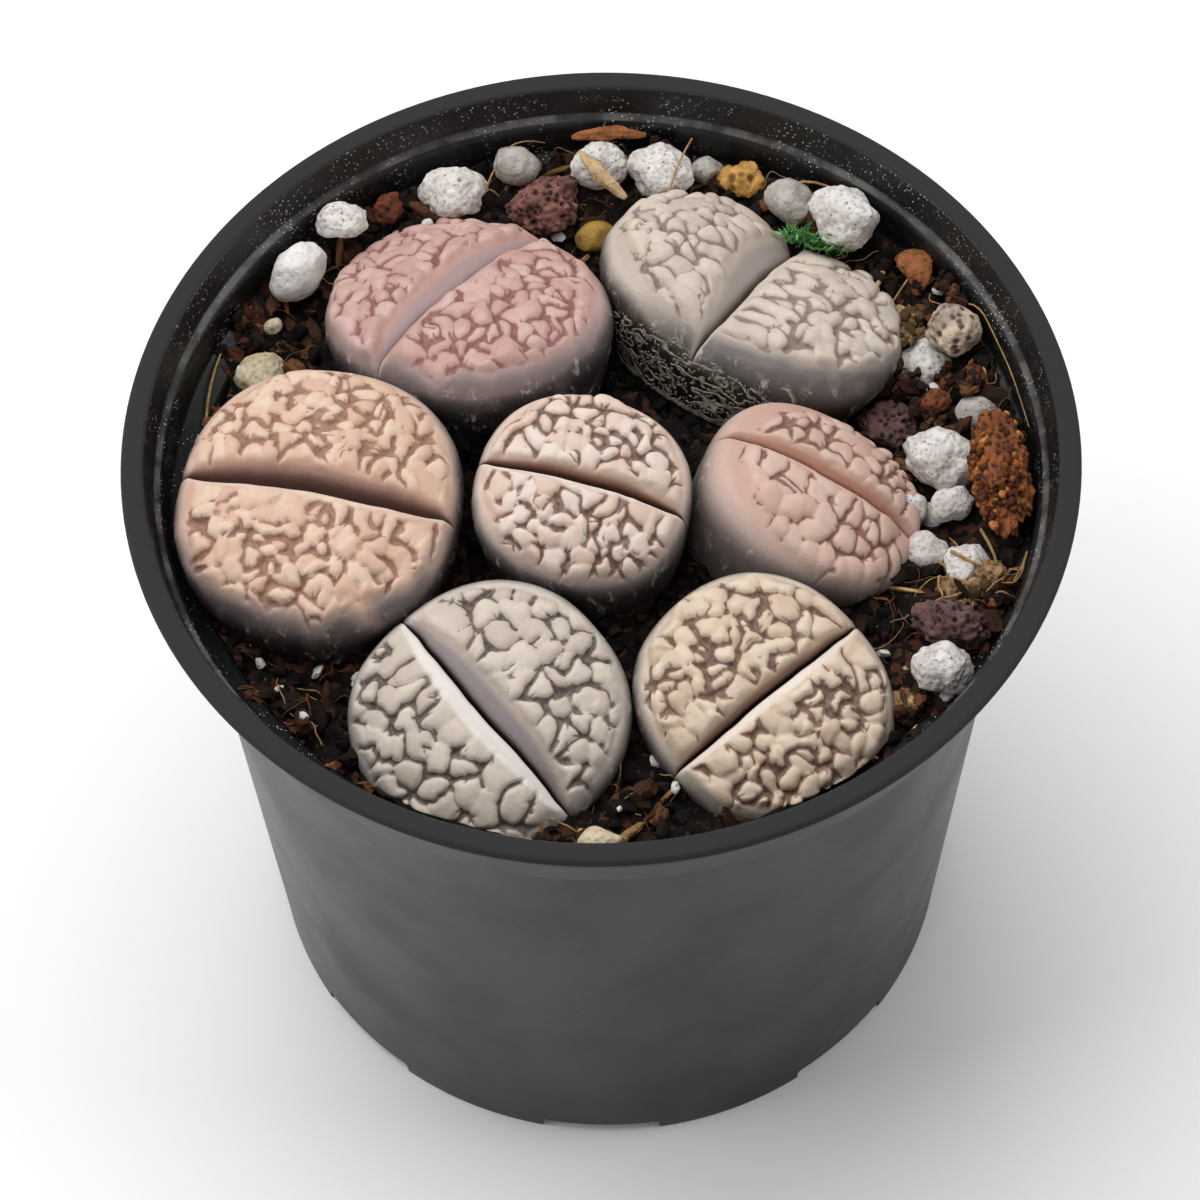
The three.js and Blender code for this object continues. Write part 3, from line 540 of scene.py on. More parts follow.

# %% [markdown]
# ## The plants
# A lithops is two fused leaves with a fissure between them. The measured solids give each
# head a place, a lean and an outline; the same values are repeated here, so the fine skin
# lies where the plain solid lies. Lengths are in millimetres and angles in degrees. The
# other words say how that plant looks:
# - children: how many islands grow where the solid has one; ring: how far apart the small
#   ones at the shoulder stand; shift: where the net's middle lies on the face
# - wide, deep and crown: the grooves' width and depth and the islands' height
# - closed, steady, split: which share of the borders has closed, how even they are, and which
#   share of the islands is split; wander and pits: how far borders wander, how wide pits are
# - slit, cleft, spread: how wide and deep the fissure is and how far its leaves stand apart;
#   gape: its width in the solid, which places the islands; valley: the ground there
# - bevel, drop and band: the smooth bands along the fissure; lopsided: one end wider
# - full: how wide the body stays below the face; front_shade: how strongly painted shade
#   greys the margin on the front of the head
# - colours: island, second island tone, groove, fissure wall, lip, side and foot; the side and
#   foot colours hold painted shade, dark on most heads and pale on the blush head, whose side
#   is painted as lit

# %% The seven heads
HEADS = {
    "rose": {
        "middle": (-14.7, 22.5, -2.9), "length": 14, "widths": (15.2, 16.4), "fissure": 49,
        "lean": 17.5, "towards": 110, "gape": 1.5, "spread": 0.6, "seed": 11,
        "children": (2, 3), "ring": 2.0, "slit": 0.5, "wide": 0.38, "deep": 0.35, "crown": 0.75,
        "closed": 0.28, "steady": 0.45, "split": 0.1, "wander": 0.65, "pits": 0.4,
        "bevel": 2.6, "drop": 1.0, "band": 0.5, "cleft": 2.6, "shift": (0, 0.6), "front_shade": 0.8,
        "colours": (0xC4A69D, 0xB28C83, 0x7F5048, 0x9C8584, 0xC0AAA4, 0x655A5B, 0x2A2423),
    },
    "grey": {
        "middle": (17.1, 23.6, -3.5), "length": 11.6, "widths": (15.8, 16), "fissure": 54,
        "lean": 15, "towards": 46, "gape": 1.4, "spread": 2.2, "seed": 23,
        "children": (2, 3), "ring": 2.0, "slit": 0.5, "wide": 0.38, "deep": 0.4, "crown": 0.75,
        "closed": 0.28, "steady": 0.5, "split": 0.15, "wander": 0.65, "pits": 0.3,
        "bevel": 2.4, "drop": 1.1, "band": 0.6, "cleft": 6.0, "shift": (1.7, 0), "front_shade": 1.0,
        "valley": 1.6, "lopsided": 0.6,
        "colours": (0xC8BCAF, 0xB3A598, 0x7B6A5F, 0x948A84, 0xC6BDB2, 0x645D5A, 0x2C2825),
    },
    "peach": {
        "middle": (-29.6, -5, 0), "length": 14.95, "widths": (15.3, 14.9), "fissure": -13,
        "lean": 7, "towards": -99, "gape": 1.5, "spread": 0.6, "seed": 37,
        "children": (3, 4), "ring": 1.6, "slit": 1.7, "wide": 0.46, "deep": 0.4, "crown": 0.68,
        "closed": 0.38, "steady": 0.4, "split": 0.12, "wander": 0.8, "pits": 0.6,
        "bevel": 0.9, "drop": 0.5, "band": 0.7, "cleft": 4.2, "full": 0.8, "front_shade": 1.0,
        "colours": (0xD4BBA7, 0xC5A18C, 0x86604F, 0x9C7C70, 0xD6C2B4, 0x6F6464, 0x2C2625),
    },
    "cream": {
        "middle": (-2, -5.4, 0.7), "length": 11.4, "widths": (10.5, 10.1), "fissure": -18,
        "lean": 13.5, "towards": -85, "gape": 0.9, "spread": 0.5, "seed": 41,
        "children": (3, 4), "ring": 1.7, "slit": 0.6, "wide": 0.38, "deep": 0.4, "crown": 0.78,
        "closed": 0.28, "steady": 0.6, "split": 0.12, "wander": 0.65, "pits": 0.45,
        "bevel": 0.6, "drop": 0.4, "band": 0.4, "cleft": 3.6, "full": 0.75, "front_shade": 0.6,
        "colours": (0xD6C7BC, 0xCBB09F, 0x674B40, 0x8B6A5A, 0xDAD0C8, 0x857B78, 0x383230),
    },
    "taupe": {
        "middle": (-12.5, -29.2, -5.5), "length": 13.8, "widths": (14.4, 13), "fissure": -53,
        "lean": 19, "towards": -96, "gape": 1.7, "spread": 0.8, "seed": 59,
        "children": (1, 2), "ring": 2.3, "slit": 0.35, "wide": 0.4, "deep": 0.45, "crown": 0.62,
        "closed": 0.2, "steady": 0.55, "split": 0.12, "wander": 0.6, "pits": 0.45,
        "bevel": 2.4, "drop": 1.1, "band": 1.6, "cleft": 3.8, "front_shade": 0.3,
        "colours": (0xC8BDB0, 0xB5A79C, 0x463730, 0x8A8080, 0xDAD4CE, 0x7D766F, 0x332F2B),
    },
    "sand": {
        "middle": (16.5, -27.7, -5.5), "length": 12.6, "widths": (13.6, 13), "fissure": 40.5,
        "lean": 18, "towards": -80, "gape": 1, "spread": 0.5, "seed": 67,
        "children": (3, 3), "ring": 1.8, "slit": 0.3, "wide": 0.42, "deep": 0.4, "crown": 0.95,
        "closed": 0.32, "steady": 0.6, "split": 0.12, "wander": 0.75, "pits": 0.35,
        "bevel": 0.9, "drop": 0.5, "band": 0.9, "cleft": 3.8, "front_shade": 0.9,
        "colours": (0xD3C2AE, 0xC0A993, 0x63453A, 0x7E6154, 0xDCD3C8, 0x79726C, 0x312C28),
    },
    "blush": {
        "middle": (23.5, -2.5, -4.2), "length": 12.2, "widths": (10, 10.4), "fissure": -19,
        "lean": 25, "towards": 3, "gape": 1.1, "spread": 0.5, "seed": 79,
        "children": (2, 3), "ring": 1.9, "slit": 0.5, "wide": 0.36, "deep": 0.3, "crown": 0.6,
        "closed": 0.2, "steady": 0.5, "split": 0.12, "wander": 0.55, "pits": 0.3,
        "bevel": 1.1, "drop": 0.6, "band": 0.5, "cleft": 3.6, "shift": (2.0, -0.3), "front_shade": 0.2,
        # Pale side and foot colours: painted light on the side of this head that faces the lamps.
        "colours": (0xC9AEA1, 0xBC9A8C, 0x71493F, 0xA87765, 0xCDB5A9, 0xC2AEA6, 0x857873),
    },
}
FACE_EDGE = 0.9
FACE_DROP = -1.15
DOME = 2.4
ISLAND_SPACING = 3.3
JITTER = 1.4
RELIEF_EDGE = 0.84
SEED_MARGIN = 0.05
SQUARENESS = 2.2
TAPROOT_DEPTH = 37
WALL_GAP = 0.9
HEAD_RADIUS = 14
SHOULDER = 0.985
SIDE = [(FACE_DROP, FACE_EDGE), (-2.3, 0.957), (-3.3, 0.985), (-4.6, 0.996), (-6.6, 0.975),
        (-10, 0.92), (-14.5, 0.83), (-21, 0.66), (-28, 0.42), (-35, 0.16)]
FULLNESS = [(-35, 0.02), (-28, 0.05), (-21, 0.06), (-14.5, 0.075), (-10, 0.045), (-6.6, 0.015),
            (-4.4, 0)]
UPRIGHT_FROM = -3
print("heads:", ", ".join(HEADS))


# %% [markdown]
# Each head has axes of its own: u along the fissure, v across it and w out of the face. A
# point given along them is carried to its place in the pot, with the leaves spread, and is
# pressed flat where it would go through the pot's wall.

# %% From a head's axes to the pot
def unit(vector):
    return vector / np.linalg.norm(vector)


def head_axes(head):
    lean, towards, fissure = (math.radians(head[key]) for key in ("lean", "towards", "fissure"))
    w = np.array([math.sin(lean) * math.cos(towards), math.sin(lean) * math.sin(towards),
                  math.cos(lean)])
    u = np.array([math.cos(fissure), math.sin(fissure), 0])
    u = unit(u - (u @ w) * w)
    x, y, depth = head["middle"]
    return u, np.cross(w, u), w, np.array([x, y, POT_HEIGHT + depth])


def inside_wall(points, margin):
    """Moves what would go through the pot's wall inwards, to a margin from the wall."""
    reach = np.hypot(points[:, 0], points[:, 1])
    wall = np.interp(points[:, 2], INNER_HEIGHTS, INNER_RADII) - margin
    points = points.copy()
    points[:, :2] *= np.minimum(1, wall / np.maximum(reach, 0.001))[:, None]
    return points


def side_share(out):
    """How wide the side of a head is at a height, as a share of its face's outline."""
    return np.interp(out, *zip(*SIDE[::-1]))


def fullness(head, out):
    return head.get("full", 0) * np.interp(out, *zip(*FULLNESS))


def upright_shift(head, out):
    """How far a full head's body stands aside of its face's axis."""
    w = head_axes(head)[2] * (1, 1, 0)
    return np.outer(head.get("full", 0) * np.maximum(0, UPRIGHT_FROM - out), w)


def settle(head, along, across, out):
    u, v, w, origin = head_axes(head)
    opened = head["spread"] * smooth(out, -16, 0) * smooth(np.abs(across), 0, 6)
    moved = across + np.sign(across) * opened
    points = origin + np.outer(along, u) + np.outer(moved, v) + np.outer(out, w)
    points = points + upright_shift(head, out)
    return inside_wall(points, WALL_GAP)


def half_gape(head, along):
    share = np.minimum(1, np.abs(along) / (FACE_EDGE * head["length"]))
    return 0.5 * head["slit"] * (0.15 + 0.85 * np.sqrt(1 - share * share)) + 0.1


def taper(head, along):
    """The smooth bands beside the fissure narrow towards its ends."""
    share = along / head["length"]
    lopsided = 1 + head.get("lopsided", 0) * share
    return lopsided * np.clip(1 - share**2, 0.02, 1) ** 0.7


def width_of(head, across):
    return np.where(across >= 0, head["widths"][0], head["widths"][1])


for name, head in HEADS.items():
    print(name, "leans", head["lean"], "degrees towards", head["towards"])


# %% [markdown]
# ## The relief of the face
# The face is a net of grooves round pillow-like islands. A bump texture would look flat at
# the silhouette and against the light, so the islands are real. Each leaf has scattered
# seeds; the border between two seeds is a groove. Real grooves wander, differ in width,
# close up here and there, and open into pits where three meet, and short cracks run
# from them into the islands. Each of these is one term below.

# %% Seeds of the islands
def island_seeds(head, side):
    draw = generator(head["seed"] * (1 if side > 0 else 7))
    seeds = []
    row_height = ISLAND_SPACING * 0.86
    width = head["widths"][0 if side > 0 else 1]
    first = 0.5 * head["gape"] + 0.6 + 0.5 * ISLAND_SPACING
    row = 0
    while first + row * row_height < width:
        for i in range(-6, 7):
            along = (i + 0.5 * (row % 2)) * ISLAND_SPACING + JITTER * (draw() - 0.5)
            across = side * (first + row * row_height) + JITTER * (draw() - 0.5)
            if math.hypot(along / head["length"], across / width) < RELIEF_EDGE - SEED_MARGIN:
                seeds.append((along, across))
        row += 1
    return np.array(seeds)


# %% [markdown]
# The solids carry one island where the skin has two or three, so most seeds become a pair,
# and a row of small ones runs round the shoulder, where the grooves end as fingers.

# %% Seeds of the fine net
CHILD_REACH = {1: 0, 2: 0.74, 3: 0.98, 4: 1.15}
RING_SHARE = 0.91


def outline(head, turn, share):
    power = 2 / SQUARENESS
    along = head["length"] * np.sign(np.cos(turn)) * np.abs(np.cos(turn)) ** power
    across = width_of(head, np.sin(turn)) * np.sign(np.sin(turn)) * np.abs(np.sin(turn)) ** power
    return share * along, share * across


def fine_seeds(head, side):
    draw = generator(head["seed"] * 3 + (1 if side > 0 else 2))
    seeds = []
    fewest, most = head["children"]
    for parent in island_seeds(head, side):
        turn = 2 * math.pi * draw()
        number = most if draw() < 0.5 else fewest
        for i in range(number):
            angle = turn + 2 * math.pi * (i + 0.3 * (draw() - 0.5)) / number
            reach = CHILD_REACH[number] * (0.85 + 0.3 * draw())
            seeds.append(parent + reach * np.array([math.cos(angle), math.sin(angle)]))
    count = int(math.pi * head["length"] * RING_SHARE / head["ring"])
    for i in range(count):
        turn = side * math.pi * (i + 0.5 + 0.9 * (draw() - 0.5)) / count
        along, across = outline(head, turn, RING_SHARE + 0.12 * (draw() - 0.5))
        if abs(across) > 0.5 * head["slit"] + 1.2:
            seeds.append(np.array([float(along), float(across)]))
    return np.array(seeds)


for name, head in HEADS.items():
    print(name, "islands:", len(fine_seeds(head, 1)), "and", len(fine_seeds(head, -1)))


# %% Grooves between the islands
ROUND_CORNER = 0.2
NEIGHBOURS = 6
CLOSED_STRENGTH = 0.12
SPLIT_STRENGTH = 0.9
PIT_FROM = 0.35
DOME_REACH = 1.7
CRACK_SPACING = 1.5
CRACK_FROM = 0.8


def borders(points, seeds, head, seed):
    """For each point: how much of a groove it is, the way to the net, a dome and its island."""
    gaps = np.sum((points[:, None] - seeds[None]) ** 2, axis=2)
    order = np.argsort(gaps, axis=1)[:, :NEIGHBOURS]
    rows = np.arange(len(points))
    nearest = order[:, 0]
    fade = smooth(noise(points, 2.2, seed), -0.7, 0.1)
    half = head["wide"] * (1 + 0.45 * noise(points, 2.1, seed + 5))
    opened = []
    total = np.zeros(len(points))
    for k in range(1, order.shape[1]):
        other = order[:, k]
        apart = np.linalg.norm(seeds[nearest] - seeds[other], axis=1)
        gap = (gaps[rows, other] - gaps[rows, nearest]) / (2 * apart)
        pair = np.minimum(nearest, other) * 61 + np.maximum(nearest, other)
        strength = 0.8 + 0.2 * hashed(pair, seed + 3)
        strength = np.where(hashed(pair, seed) < head["closed"], CLOSED_STRENGTH, strength)
        strength = strength * (head["steady"] + (1 - head["steady"]) * fade)
        total += np.exp(-(gap + (1 - strength) * 0.8) / ROUND_CORNER)
        opened.append((gap, strength))
    turn = 2 * math.pi * hashed(nearest, seed + 12)
    off = points - seeds[nearest]
    gap = np.abs(off[:, 0] * np.cos(turn) + off[:, 1] * np.sin(turn) + 0.25)
    one_way = smooth(off[:, 1] * np.cos(turn) - off[:, 0] * np.sin(turn), -0.2, 0.7)
    is_split = hashed(nearest, seed + 14) < head["split"]
    split = np.where(is_split, SPLIT_STRENGTH, 0) * one_way
    total += np.exp(-(gap + (1 - split) * 1.2) / ROUND_CORNER)
    way = np.maximum(0, ROUND_CORNER * (0.15 - np.log(total)))
    groove = 1 - smooth(way, 0.1 * half, 1.1 * half)
    corner = hashed(nearest + order[:, 1] + order[:, 2], seed + 1)
    pit = np.minimum(opened[0][1], opened[1][1]) * (corner > PIT_FROM)
    reach = opened[1][0] + 0.35 * opened[0][0]
    size = head["pits"] * (0.6 + 0.7 * corner)
    groove = np.maximum(groove, pit * (1 - smooth(reach / size, 0.5, 1.15)))
    dome = 1 - np.clip(np.sqrt(gaps[rows, nearest]) / DOME_REACH, 0, 1) ** 2
    return groove, way, dome, nearest


def cracks(points, seed):
    """Short fine cracks: some of the borders of a much finer scatter."""
    size = CRACK_SPACING
    cells = np.floor(points / size)
    best = np.full((len(points), 2), 99.0)
    ids = np.zeros((len(points), 2))
    for dx, dy in product((-1, 0, 1), repeat=2):
        cell = cells + (dx, dy)
        key = cell[:, 0] * 131 + cell[:, 1] * 17
        spot = np.column_stack([hashed(key, seed), hashed(key, seed + 4)])
        gap = np.linalg.norm(points / size - cell - spot, axis=1)
        closer = gap < best[:, 0]
        second = ~closer & (gap < best[:, 1])
        best[closer, 1] = best[closer, 0]
        ids[closer, 1] = ids[closer, 0]
        best[closer, 0] = gap[closer]
        ids[closer, 0] = key[closer]
        best[second, 1] = gap[second]
        ids[second, 1] = key[second]
    border = (best[:, 1] - best[:, 0]) * size
    drawn = hashed(ids[:, 0] + ids[:, 1], seed + 2) > CRACK_FROM
    return drawn * (1 - smooth(border, 0.08, 0.3))


def relief(head, along, across):
    """Height of the relief; how far a point is groove, rise and plain margin; island tint."""
    height = np.zeros(len(along))
    groove = np.zeros(len(along))
    rise = np.zeros(len(along))
    plain = np.zeros(len(along))
    tint = np.full(len(along), 0.5)
    for side in (1, -1):
        here = across * side > 0
        flat = np.column_stack([along[here], across[here]])
        wander = head["wander"]
        shift = [wander * noise(flat, 2.6, head["seed"] + k)
                 + 0.5 * wander * noise(flat, 1.2, head["seed"] + 20 + k)
                 + 0.3 * wander * noise(flat, 0.7, head["seed"] + 30 + k) for k in (1, 2)]
        warped = flat + np.column_stack(shift)
        seeds = fine_seeds(head, side)
        dug, way, dome, island = borders(warped, seeds, head, head["seed"] + side)
        fine = cracks(flat + 0.4 * np.column_stack(shift), head["seed"] + 40 + side)
        fine = fine * (1 - smooth(way, 0.3, 0.95)) * (1 - 0.5 * dug)
        aside, ahead = head.get("shift", (0, 0))
        share = np.hypot((flat[:, 0] - aside) / head["length"],
                         (flat[:, 1] - ahead) / width_of(head, flat[:, 1]))
        share = share + 0.07 * noise(flat, 2.6, head["seed"] + 60)
        inside = 1 - smooth(share, 0.84, 0.95)
        reach = 1 - smooth(share, 0.9, 0.97)
        bevel = (head["bevel"] if side > 0 else head["band"]) * taper(head, flat[:, 0])
        lip = np.abs(flat[:, 1]) - half_gape(head, flat[:, 0]) - bevel
        band = smooth(lip + 0.5 * noise(flat, 1.4, head["seed"] + 70), -0.3, 0.6)
        dug = np.maximum(dug, 0.7 * fine) * reach * band
        lift = 0.6 + 0.6 * hashed(island, head["seed"] + 80)
        pillow = 1 - (1 - np.clip(way / 0.95, 0, 1)) ** 2.2
        pillow = (0.6 * pillow + 0.4 * dome) * inside * band
        height[here] = head["crown"] * lift * pillow - head["deep"] * dug
        groove[here] = dug
        rise[here] = pillow
        plain[here] = smooth(share, 0.86, 1.0) * band
        tint[here] = 0.5 + (hashed(island, head["seed"] + 90) - 0.5) * inside * band
    return height, groove, rise, plain, tint


# %% [markdown]
# ## From a flat grid to a leaf pair
# By hand one would start with a ball and sculpt it. The relief needs points exactly where
# the grooves run, so the start is a flat square grid instead, whose rim is extruded down
# for the sides and merged to a point for the root. The square is then pressed into the
# head's outline. Its middle rows become the walls of the fissure.

# %% A square grid with sides
GRID = 204
WALL_ROWS = 9
SIDE_STEPS = 30


def sheet_with_sides():
    bpy.ops.mesh.primitive_grid_add(x_subdivisions=GRID, y_subdivisions=GRID, size=2)
    piece = bpy.context.object
    edit(piece, "EDGE")
    bpy.ops.mesh.select_non_manifold()
    for _ in range(SIDE_STEPS + 1):
        bpy.ops.mesh.extrude_region_move(TRANSFORM_OT_translate={"value": (0, 0, -1)})
    bpy.ops.mesh.merge(type="CENTER")
    all_outward()
    return piece


leaf_blank = sheet_with_sides()
print("blank faces:", len(leaf_blank.data.polygons))


# %% Press the grid into a head
def on_disc(x, y):
    """Turns a place on the square into a turn round the disc and a share of its radius."""
    disc_x = x * np.sqrt(1 - y * y / 2)
    disc_y = y * np.sqrt(1 - x * x / 2)
    return np.arctan2(disc_y, disc_x), np.hypot(disc_x, disc_y)


def curve_through(keys, values, at):
    """A smooth curve that has these values at the places keys, read at the places at."""
    slopes = np.gradient(values, keys)
    i = np.clip(np.searchsorted(keys, at) - 1, 0, len(keys) - 2)
    span = keys[i + 1] - keys[i]
    t = (at - keys[i]) / span
    low = (2 * t**3 - 3 * t**2 + 1) * values[i] + (t**3 - 2 * t**2 + t) * span * slopes[i]
    return low + (3 * t**2 - 2 * t**3) * values[i + 1] + (t**3 - t**2) * span * slopes[i + 1]


def profile_table():
    """The section of a head from its middle to its foot: way along it, share and height."""
    rows = []
    for share in np.linspace(0, FACE_EDGE, 9)[:-1]:
        rows.append((share, FACE_DROP + DOME * (1 - (share / FACE_EDGE) ** 2.6)))
    rows += [(share, out) for out, share in SIDE]
    rows = np.array(rows)
    steps = np.hypot(HEAD_RADIUS * np.diff(rows[:, 0]), np.diff(rows[:, 1]))
    return np.concatenate([[0], np.cumsum(steps)]), rows[:, 0], rows[:, 1]


SECTION_WAY, SECTION_SHARE, SECTION_OUT = profile_table()
GRID_REACH = float(np.interp(SHOULDER, SECTION_SHARE[:11], SECTION_WAY[:11]))
print("section:", round(SECTION_WAY[-1], 1), "mm long, face to", round(GRID_REACH, 1))


def section(way):
    """Share and height at a way along the section, and its outward direction."""
    share = curve_through(SECTION_WAY, SECTION_SHARE, way)
    out = curve_through(SECTION_WAY, SECTION_OUT, way)
    ahead = np.minimum(way + 0.1, SECTION_WAY[-1])
    run = HEAD_RADIUS * (curve_through(SECTION_WAY, SECTION_SHARE, ahead) - share)
    rise = curve_through(SECTION_WAY, SECTION_OUT, ahead) - out
    size = np.maximum(np.hypot(run, rise), 1e-6)
    return share, out, -rise / size, run / size


# %% [markdown]
# Along the fissure the face is not plain: each lip is a little rounded, and on many heads
# the back leaf has a smooth band that slopes into the fissure. On the grey head the two
# leaves have grown apart, so the ground between them falls in a valley.

# %% Shape along the fissure
def fissure_drop(head, along, across):
    lip = np.abs(across) - half_gape(head, along)
    narrow = taper(head, along)
    rounding = 0.3 * (1 - smooth(lip, -0.1, 0.8))
    slope = 1 - np.clip((lip - 0.1) / (head["bevel"] * narrow), 0, 1) ** 1.5
    bevel = np.where(across > 0, head["drop"] * narrow**0.5 * slope, 0)
    valley = head.get("valley", 0) * (1 - smooth(np.abs(across), 0, 7))
    return rounding + bevel + valley


# %% [markdown]
# The sheet is first laid on the plain head. Its middle rows make the two walls of the
# fissure, the rest of the square makes the leaves, and the extruded rim makes the side.

# %% Lay the sheet on the plain head
WALL_BAND = WALL_ROWS / (GRID / 2)
RUN_OUT = 2.5
CLEFT_REACH = 0.93
CLEFT_CURVE = 1.6
SMOOTHINGS = 4


def lay_out(piece, head):
    """Says of each point of the sheet where it lies on the plain head and of which part it is."""
    blank = places(piece)
    x, y, level = blank[:, 0], blank[:, 1], -blank[:, 2]
    at = SimpleNamespace(in_wall=np.abs(y) < WALL_BAND - 1e-6, on_face=level < 0.5,
                         leaf=np.where(y >= 0, 1.0, -1.0), tip=level > SIDE_STEPS + 0.5,
                         up=np.clip(np.abs(y) / WALL_BAND, 0, 1))
    leaf_y = np.sign(y) * np.clip((np.abs(y) - WALL_BAND) / (1 - WALL_BAND), 0, 1)
    turn, far = on_disc(x, leaf_y)
    below = np.clip(level / SIDE_STEPS, 0, 1) ** 1.5
    at.way = np.where(at.on_face, far * GRID_REACH,
                      GRID_REACH + below * (SECTION_WAY[-1] - GRID_REACH))
    at.share, at.out, at.outward, at.upward = section(at.way)
    at.share = at.share + fullness(head, at.out)
    at.u, v = outline(head, turn, at.share)
    at.run_out = np.where(at.on_face, 1, np.exp(-np.maximum(0, at.way - GRID_REACH) / RUN_OUT))
    at.gape = half_gape(head, at.u) * at.run_out
    at.width = width_of(head, v)
    leaf_v = v + at.leaf * at.gape * (1 - np.clip(np.abs(v) / at.width, 0, 1)) ** 2
    at.v = np.where(at.in_wall, at.leaf * at.gape * at.up**0.7, leaf_v)
    return at


# %% [markdown]
# The relief then moves the points out and the fissure moves them down. The fissure is not
# quite straight, and the whole head sways a little, as nothing that grows is exact.

# %% Press the sheet into shape
def press(piece, head, at):
    seed = head["seed"]
    line = np.column_stack([at.u, 0 * at.u])
    wavy = 0.32 * noise(line, 5.5, seed + 3) + 0.12 * noise(line, 1.7, seed + 4)
    bend = wavy * (1 - np.clip(np.abs(at.v) / at.width, 0, 1)) ** 2 * at.run_out
    beside = np.where(at.in_wall, at.leaf * at.gape, at.v)
    height, at.groove, at.rise, at.plain, at.tint = relief(head, at.u, beside)
    height = np.where(at.in_wall, 0, height * at.run_out**0.5)
    size = np.maximum(np.hypot(at.u, at.v), 0.001)
    sway = 0.16 * noise(np.column_stack([at.u, at.v, at.out]), 5, seed) * smooth(-at.out, 1, 5)
    push = (height + sway) * at.outward
    at.out = at.out + height * at.upward
    at.out = at.out - at.run_out * fissure_drop(head, at.u, beside)
    reach = np.clip(np.abs(at.u) / (CLEFT_REACH * head["length"]), 0, 1)
    cleft = (head["cleft"] * np.sqrt(1 - reach**4) + 0.6) * at.run_out
    sunk = 1 - at.up**CLEFT_CURVE
    at.out = np.where(at.in_wall & at.on_face, at.out - cleft * sunk, at.out)
    push = push - np.where(at.in_wall & ~at.on_face, 0.45 * at.run_out * sunk, 0)
    at.lip = np.abs(at.v) - at.gape
    at.u, at.v = at.u * (1 + push / size), (at.v + bend) * (1 + push / size)
    at.u, at.v = np.where(at.tip, 0, at.u), np.where(at.tip, 0, at.v)
    at.out = np.where(at.tip, -TAPROOT_DEPTH, at.out)
    move_to(piece, settle(head, at.u, at.v, at.out) * MM)


# %% [markdown]
# The marks tell the material what each point is: groove or island, the wall of the fissure,
# a smooth band beside it, the plain margin, and the side with its depth below the face. The
# depth and the front of the margin carry painted shade, and the lip of the front leaf a
# painted highlight.

# %% Mark the skin
def mark_skin(piece, head, at):
    narrow = taper(head, at.u)
    bevel_end = head["bevel"] * 0.85 * narrow
    soft = 0.15 + 0.25 * head["bevel"]
    on_bevel = (at.leaf > 0) * (1 - smooth(at.lip, bevel_end - soft, bevel_end + 0.15))
    fade = 1 - smooth(at.share, 0.93, SHOULDER)
    rim_end = head["band"] * narrow
    # rim: the pale strip on the front leaf's lip, a painted highlight.
    rim = np.where(at.leaf < 0, 1 - smooth(at.lip, rim_end - 0.1, rim_end + 0.4), 0)
    cleft_wall = at.in_wall & at.on_face
    mark(piece, "groove", at.groove * at.run_out)
    mark(piece, "island", at.tint)
    mark(piece, "rise", at.rise * at.run_out)
    mark(piece, "cleft", np.where(at.in_wall, 1, on_bevel) * at.on_face * fade)
    mark(piece, "lip", rim * at.on_face * ~at.in_wall * fade)
    # down: depth below the face, which the skin turns into painted shade towards the soil.
    mark(piece, "down", np.clip((-at.out - 1) / 15, 0, 1) * ~cleft_wall)
    mark(piece, "shade", np.where(cleft_wall, (1 - at.up) * fade, 0))
    mark(piece, "margin", smooth(at.share, RELIEF_EDGE, 0.95))
    way = at.way + 0.5 * noise(np.column_stack([at.u, at.v]), 1.8, head["seed"])
    flank = smooth(way, GRID_REACH - 2.4, GRID_REACH + 0.2)
    # Painted shade: the plain margin on the front of each head is greyed, as if turned from the
    # light.
    ahead = -(places(piece)[:, 1] / MM - head["middle"][1]) / head["length"]
    front_shade = head["front_shade"] * at.plain * smooth(ahead, 0.1, 0.8) * at.on_face * ~at.in_wall
    mark(piece, "flank", np.maximum(flank, front_shade))


def soften(piece):
    edit(piece)
    bpy.ops.mesh.select_all(action="SELECT")
    bpy.ops.mesh.vertices_smooth(factor=0.5, repeat=SMOOTHINGS)
    done()


# %% [markdown]
# ## The skin
# The skin is matt and waxy. Its colour follows the relief: pale islands, brown grooves, a
# pale margin and a mauve wall in the fissure, with thin white scuffs of dried skin on the
# sides. Painted shade darkens the deep fissure, the sides towards the soil and the margin on
# the front of each head, and a pale strip on the front leaf's lip is a painted highlight. All
# of it reads the marks of the mesh.

